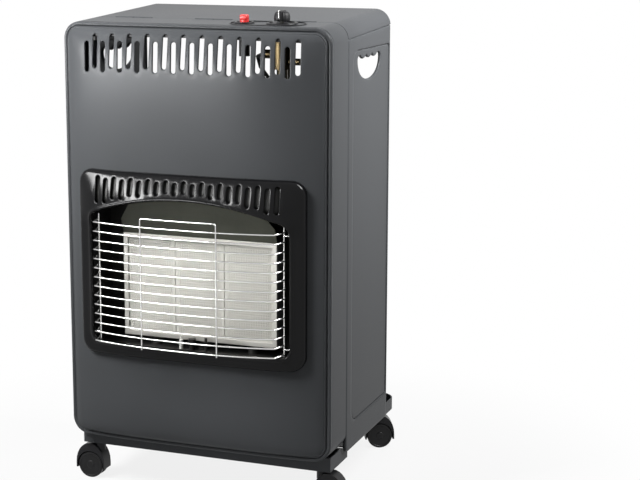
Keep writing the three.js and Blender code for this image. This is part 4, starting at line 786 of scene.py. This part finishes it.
def make_side_panel(name, sign):
    """Sheet panel with a sunk field, a rolled hand hole and folded edges, on its hinge knuckles."""
    p = side
    back = p.front + p.length

    def top(y):
        return roof_at(y) - lid.flange - p.top_gap
    corner = arc(p.front + p.corner, p.bottom + p.corner, p.corner, 180, 270, 8)
    outline = divided(corner + [(back, p.bottom), (back, top(back)), (p.front, top(p.front))], 12)
    edge = [(0, 1.6), (0.25, 0.9), (0.8, 0.3), (1.6, 0)]
    small = p.field_small_corner
    field = divided(arc(p.field_start + p.field_corner, p.field_bottom + p.field_corner, p.field_corner, 180, 270, 8)
                    + arc(back - p.field_back, p.field_bottom + small, small, 270, 360, 4)
                    + arc(back - p.field_back, p.field_top - small, small, 0, 90, 4)
                    + arc(p.field_start + p.field_corner, p.field_top - p.field_corner, p.field_corner, 90, 180, 8),
                    12)
    deep = p.field_depth
    step = [(-2.6, deep), (-1.8, deep + 0.1), (-1.1, deep + 0.9), (-0.5, deep + 0.9), (0, 0.8 * deep),
            (0.6, 0.25 * deep), (1.4, 0)]
    hole = [(distance, depth + deep) for distance, depth in rolled(p.grip_roll)]
    flat, depth, faces, borders = plate(outline, edge, [(grip_outline(), hole)], 6, [(field, step)])
    points = [(sign * (cabinet.half - d), y, z) for (y, z), d in zip(flat, depth)]
    inner = sign * (cabinet.half - p.thickness)
    grip = borders[1][::-1]
    skirt(points, faces, grip, [[(inner, points[i][1], points[i][2]) for i in grip]])
    skirt(points, faces, borders[0], [[(inner, points[i][1], points[i][2]) for i in borders[0]]])
    if sign < 0:
        faces = [tuple(reversed(f)) for f in faces]
    piece = mesh_piece(name + "_sheet", points, faces)
    thicken(piece, wall.sheet)
    body = "panel_right" if sign > 0 else "panel_left"
    dress(piece, body, paint, [name], 50)
    make_knuckles(name, sign, body)


# ---------------------------------------------------------------- casters
def make_caster(corner, x, y, turn):
    """Twin wheels with dished faces on one axle, under a softened hood."""
    refined("caster_hood_" + corner, "swivel_" + corner, black_plastic, 1.1, 3)
    c = caster
    r, w = c.wheel, c.wheel_width
    middle = c.half_width - 0.6 - w / 2
    profile = [(0, -w / 2), (r - 1.2, -w / 2), (r - 0.3, -w / 2 + 0.4), (r, -w / 2 + 1.2), (r, w / 2 - 1.6),
               (r - 0.5, w / 2 - 0.5), (r - 1.6, w / 2), (r - 3.2, w / 2), (r - 4.0, w / 2 - 0.7),
               (6.5, w / 2 - 0.9), (5.8, w / 2 - 0.2), (4.6, w / 2), (0, w / 2)]
    points, faces = lathe(profile, 56)
    place = Matrix.Translation((x, y, 0)) @ Matrix.Rotation(math.radians(turn), 4, "Z")
    for n, sign in enumerate((-1, 1)):
        stand = Matrix.Translation((c.trail, sign * middle, r)) @ Matrix.Rotation(-sign * math.pi / 2, 4, "X")
        wheel = mesh_piece(f"caster_wheel_{corner}_{n + 1}", moved(points, place @ stand), faces)
        nodes = ["caster_wheels_" + corner] if n == 0 else []
        dress(wheel, "wheels_" + corner, wheel_plastic, nodes, 40)
    axle_points, axle_faces = lathe([(0, -middle), (c.axle, -middle), (c.axle, middle), (0, middle)], 24)
    stand = Matrix.Translation((c.trail, 0, r)) @ Matrix.Rotation(math.pi / 2, 4, "X")
    axle = mesh_piece(f"caster_axle_{corner}", moved(axle_points, place @ stand), axle_faces)
    dress(axle, "wheels_" + corner, zinc)


# ---------------------------------------------------------------- the whole heater
make_front_panel()
make_surround()
# A dark sheet behind the louvres paints their shade.
make_louvre_shade_sheet()
for plaque_name, plaque_x in zip(("left", "middle", "right"), plaque_centres()):
    make_plaque("ceramic_plaque_" + plaque_name, plaque_x)
    refined("mixer_tube_" + plaque_name, "front_unit", dark_zinc, 0.3)
make_guard()
make_bezel("knob_bezel", knob, knob.bezel_height)
make_bezel("igniter_bezel", igniter, igniter.bezel_height)
make_control_ring()
make_vent_strip()
make_knob()
make_igniter_button()
make_side_panel("side_panel_left", -1)
make_side_panel("side_panel_right", 1)
for cad_node, material, slot_name, edge in (
        ("front_wrapper", paint, "paint", 0.7), ("burner_pan", cavity_painted_shade, "reflector", 0.5),
        ("burner_housing", zinc, "steel", 0.6), ("plaque_trim", trim, "steel", 0.4),
        ("heat_deflector", reflector, "reflector", 0.3), ("gas_manifold", brass, "brass", 0.3),
        ("manifold_bracket", dark_zinc, "steel", 0.3), ("gas_valve", brass, "brass", 0.6),
        ("valve_bracket", dark_zinc, "steel", 0.3), ("igniter_body", black_plastic, "black_plastic", 0.3),
        ("hose_inlet", brass, "brass", 0.3), ("pilot_burner", dark_zinc, "steel", 0.3),
        ("spark_electrode", porcelain, "porcelain", 0.2), ("thermocouple", dark_zinc, "copper", 0),
        ("pilot_supply_pipe", copper, "copper", 0), ("burner_supply_pipe", dark_zinc, "steel", 0),
        ("ignition_lead", lead_rubber, "lead_rubber", 0), ("base_channel", paint, "paint", 0.5),
        ("side_hinge_leaf_left", zinc, "steel", 0.2), ("side_hinge_leaf_right", zinc, "steel", 0.2),
        ("side_hinge_pin_left", zinc, "steel", 0.2), ("side_hinge_pin_right", zinc, "steel", 0.2),
        ("lid_hinge_leaf", paint, "steel", 0.1), ("lid_hinge_pin_1", dark_zinc, "steel", 0.1),
        ("lid_hinge_pin_2", dark_zinc, "steel", 0.1), ("lid_hinge_pin_3", dark_zinc, "steel", 0.1),
        ("tray_hinge_pin", zinc, "steel", 0.1)):
    refined(cad_node, "front_unit", material, edge)
refined("valve_spindle", "spindle", dark_zinc, 0.3)
refined("rear_lid", "lid", paint, 0.6)
refined("bottle_tray", "tray", paint, 0.6)
for sign, hand in ((-1, "left"), (1, "right")):
    make_caster("front_" + hand, sign * caster.front[0], caster.front[1], 180 if sign < 0 else 0)
    turn = 180 - caster.rear_turn if sign < 0 else caster.rear_turn
    make_caster("rear_" + hand, sign * caster.rear[0], caster.rear[1], turn)


# ---------------------------------------------------------------- stage, light and camera
stage = Sizes(reach=6.0, shade=0.55, white=0.85, fade_from=0.25, fade_to=0.75, fill=0.13)


def seen_directly(tree):
    """1 for what the camera, a reflection or a view through something clear sees, else 0."""
    path = node(tree, "ShaderNodeLightPath")
    seen = path.outputs["Is Camera Ray"]
    for ray in ("Is Glossy Ray", "Is Transmission Ray"):
        seen = node(tree, "ShaderNodeMath", {0: seen, 1: path.outputs[ray]}, operation="MAXIMUM").outputs["Value"]
    return seen


def seen_white(name):
    """Plain white to the camera and in reflections, with a share of real shading for the shadow, which fades
    out away from the heater."""
    made = bpy.data.materials.new(name)
    made.use_nodes = True
    tree = made.node_tree
    tree.nodes.clear()
    place = node(tree, "ShaderNodeTexCoord").outputs["Object"]
    away = node(tree, "ShaderNodeVectorMath", {0: place}, operation="LENGTH").outputs["Value"]
    plain = node(tree, "ShaderNodeMapRange", {"Value": away, "From Min": stage.fade_from, "From Max": stage.fade_to,
                                              "To Min": stage.white, "To Max": 1.0},
                 interpolation_type="SMOOTHSTEP").outputs["Result"]
    share = node(tree, "ShaderNodeMath", {0: seen_directly(tree), 1: plain}, operation="MULTIPLY").outputs["Value"]
    diffuse = node(tree, "ShaderNodeBsdfDiffuse", {"Color": (stage.shade, stage.shade, stage.shade, 1)})
    glow = node(tree, "ShaderNodeEmission", {"Color": (1, 1, 1, 1), "Strength": 1.0})
    mixed = node(tree, "ShaderNodeMixShader", {0: share, 1: diffuse.outputs[0], 2: glow.outputs[0]})
    node(tree, "ShaderNodeOutputMaterial", {"Surface": mixed.outputs[0]})
    return made


def make_stage():
    """A pale floor, and a world that is white where it is seen and dim where it only lights."""
    r = stage.reach
    mesh = bpy.data.meshes.new("floor")
    mesh.from_pydata([(-r, -r, 0), (r, -r, 0), (r, r, 0), (-r, r, 0)], [], [(0, 1, 2, 3)])
    floor = bpy.data.objects.new("floor", mesh)
    bpy.context.scene.collection.objects.link(floor)
    mesh.materials.append(seen_white("pale_floor"))
    world = bpy.data.worlds.new("studio")
    bpy.context.scene.world = world
    world.use_nodes = True
    tree = world.node_tree
    tree.nodes.clear()
    strength = node(tree, "ShaderNodeMapRange", {"Value": seen_directly(tree), "To Min": stage.fill,
                                                 "To Max": 1.0}).outputs["Result"]
    back = node(tree, "ShaderNodeBackground", {"Color": (1, 1, 1, 1), "Strength": strength})
    node(tree, "ShaderNodeOutputWorld", {"Surface": back.outputs[0]})


def soft_lamp(name, place, target, size, watts, spread=180, diffuse=True, glossy=True):
    """An area lamp in metres and watts. Without diffuse it is only a highlight; without glossy it makes none."""
    data = bpy.data.lights.new(name, "AREA")
    data.spread = math.radians(spread)
    data.shape = "RECTANGLE"
    data.size, data.size_y = size
    data.energy = watts
    lamp = bpy.data.objects.new(name, data)
    bpy.context.scene.collection.objects.link(lamp)
    lamp.visible_camera = False
    lamp.visible_diffuse = diffuse
    lamp.visible_glossy = glossy
    lamp.location = place
    lamp.rotation_mode = "QUATERNION"
    lamp.rotation_quaternion = (Vector(target) - Vector(place)).to_track_quat("-Z", "Y")


def make_camera():
    """The photograph's viewpoint, as millimetres in the drawing and degrees."""
    place = (947.4, -2060.4, 853.3)
    yaw, pitch, roll = math.radians(20.1), math.radians(10.22), math.radians(0.21)
    focal_pixels, picture_width, sensor = 1581, 640, 36
    forward = Vector((-math.sin(yaw) * math.cos(pitch), math.cos(yaw) * math.cos(pitch), -math.sin(pitch)))
    right = Vector((math.cos(yaw), math.sin(yaw), 0))
    up = right.cross(forward)
    turned_right = math.cos(roll) * right + math.sin(roll) * up
    turned_up = math.cos(roll) * up - math.sin(roll) * right
    data = bpy.data.cameras.new("camera")
    data.sensor_width = sensor
    data.lens = focal_pixels / picture_width * sensor
    data.shift_y = -0.05
    camera = bpy.data.objects.new("camera", data)
    bpy.context.scene.collection.objects.link(camera)
    rotation = Matrix((turned_right, turned_up, -forward)).transposed().to_4x4()
    camera.matrix_world = Matrix.Translation(to_frame([place])[0]) @ rotation
    bpy.context.scene.camera = camera


make_stage()
# The sheen lamp stands lower than the roof, which would otherwise mirror it in views from the back.
soft_lamp("key_lamp", place=(-0.58, -0.78, 1.18), target=(-0.14, -0.15, 0.56), size=(0.5, 0.5), watts=9.2,
          spread=80, glossy=False)
soft_lamp("sheen_lamp", place=(-0.5, -0.7, 0.64), target=(-0.04, -0.05, 0.48), size=(0.75, 0.17), watts=4.8,
          spread=80, diffuse=False)
soft_lamp("side_lamp", place=(0.72, 0.02, 1.06), target=(0.21, 0.1, 0.62), size=(0.4, 0.45), watts=5.2,
          spread=80)
soft_lamp("back_lamp", place=(0, 1.6, 0.75), target=(0, 0.1, 0.4), size=(0.8, 0.8), watts=14, glossy=False)
soft_lamp("low_lamp", place=(-0.2, -1.15, 0.1), target=(0, 0, 0.4), size=(0.3, 0.06), watts=0.5)
make_camera()
bpy.context.scene.view_settings.view_transform = "Standard"
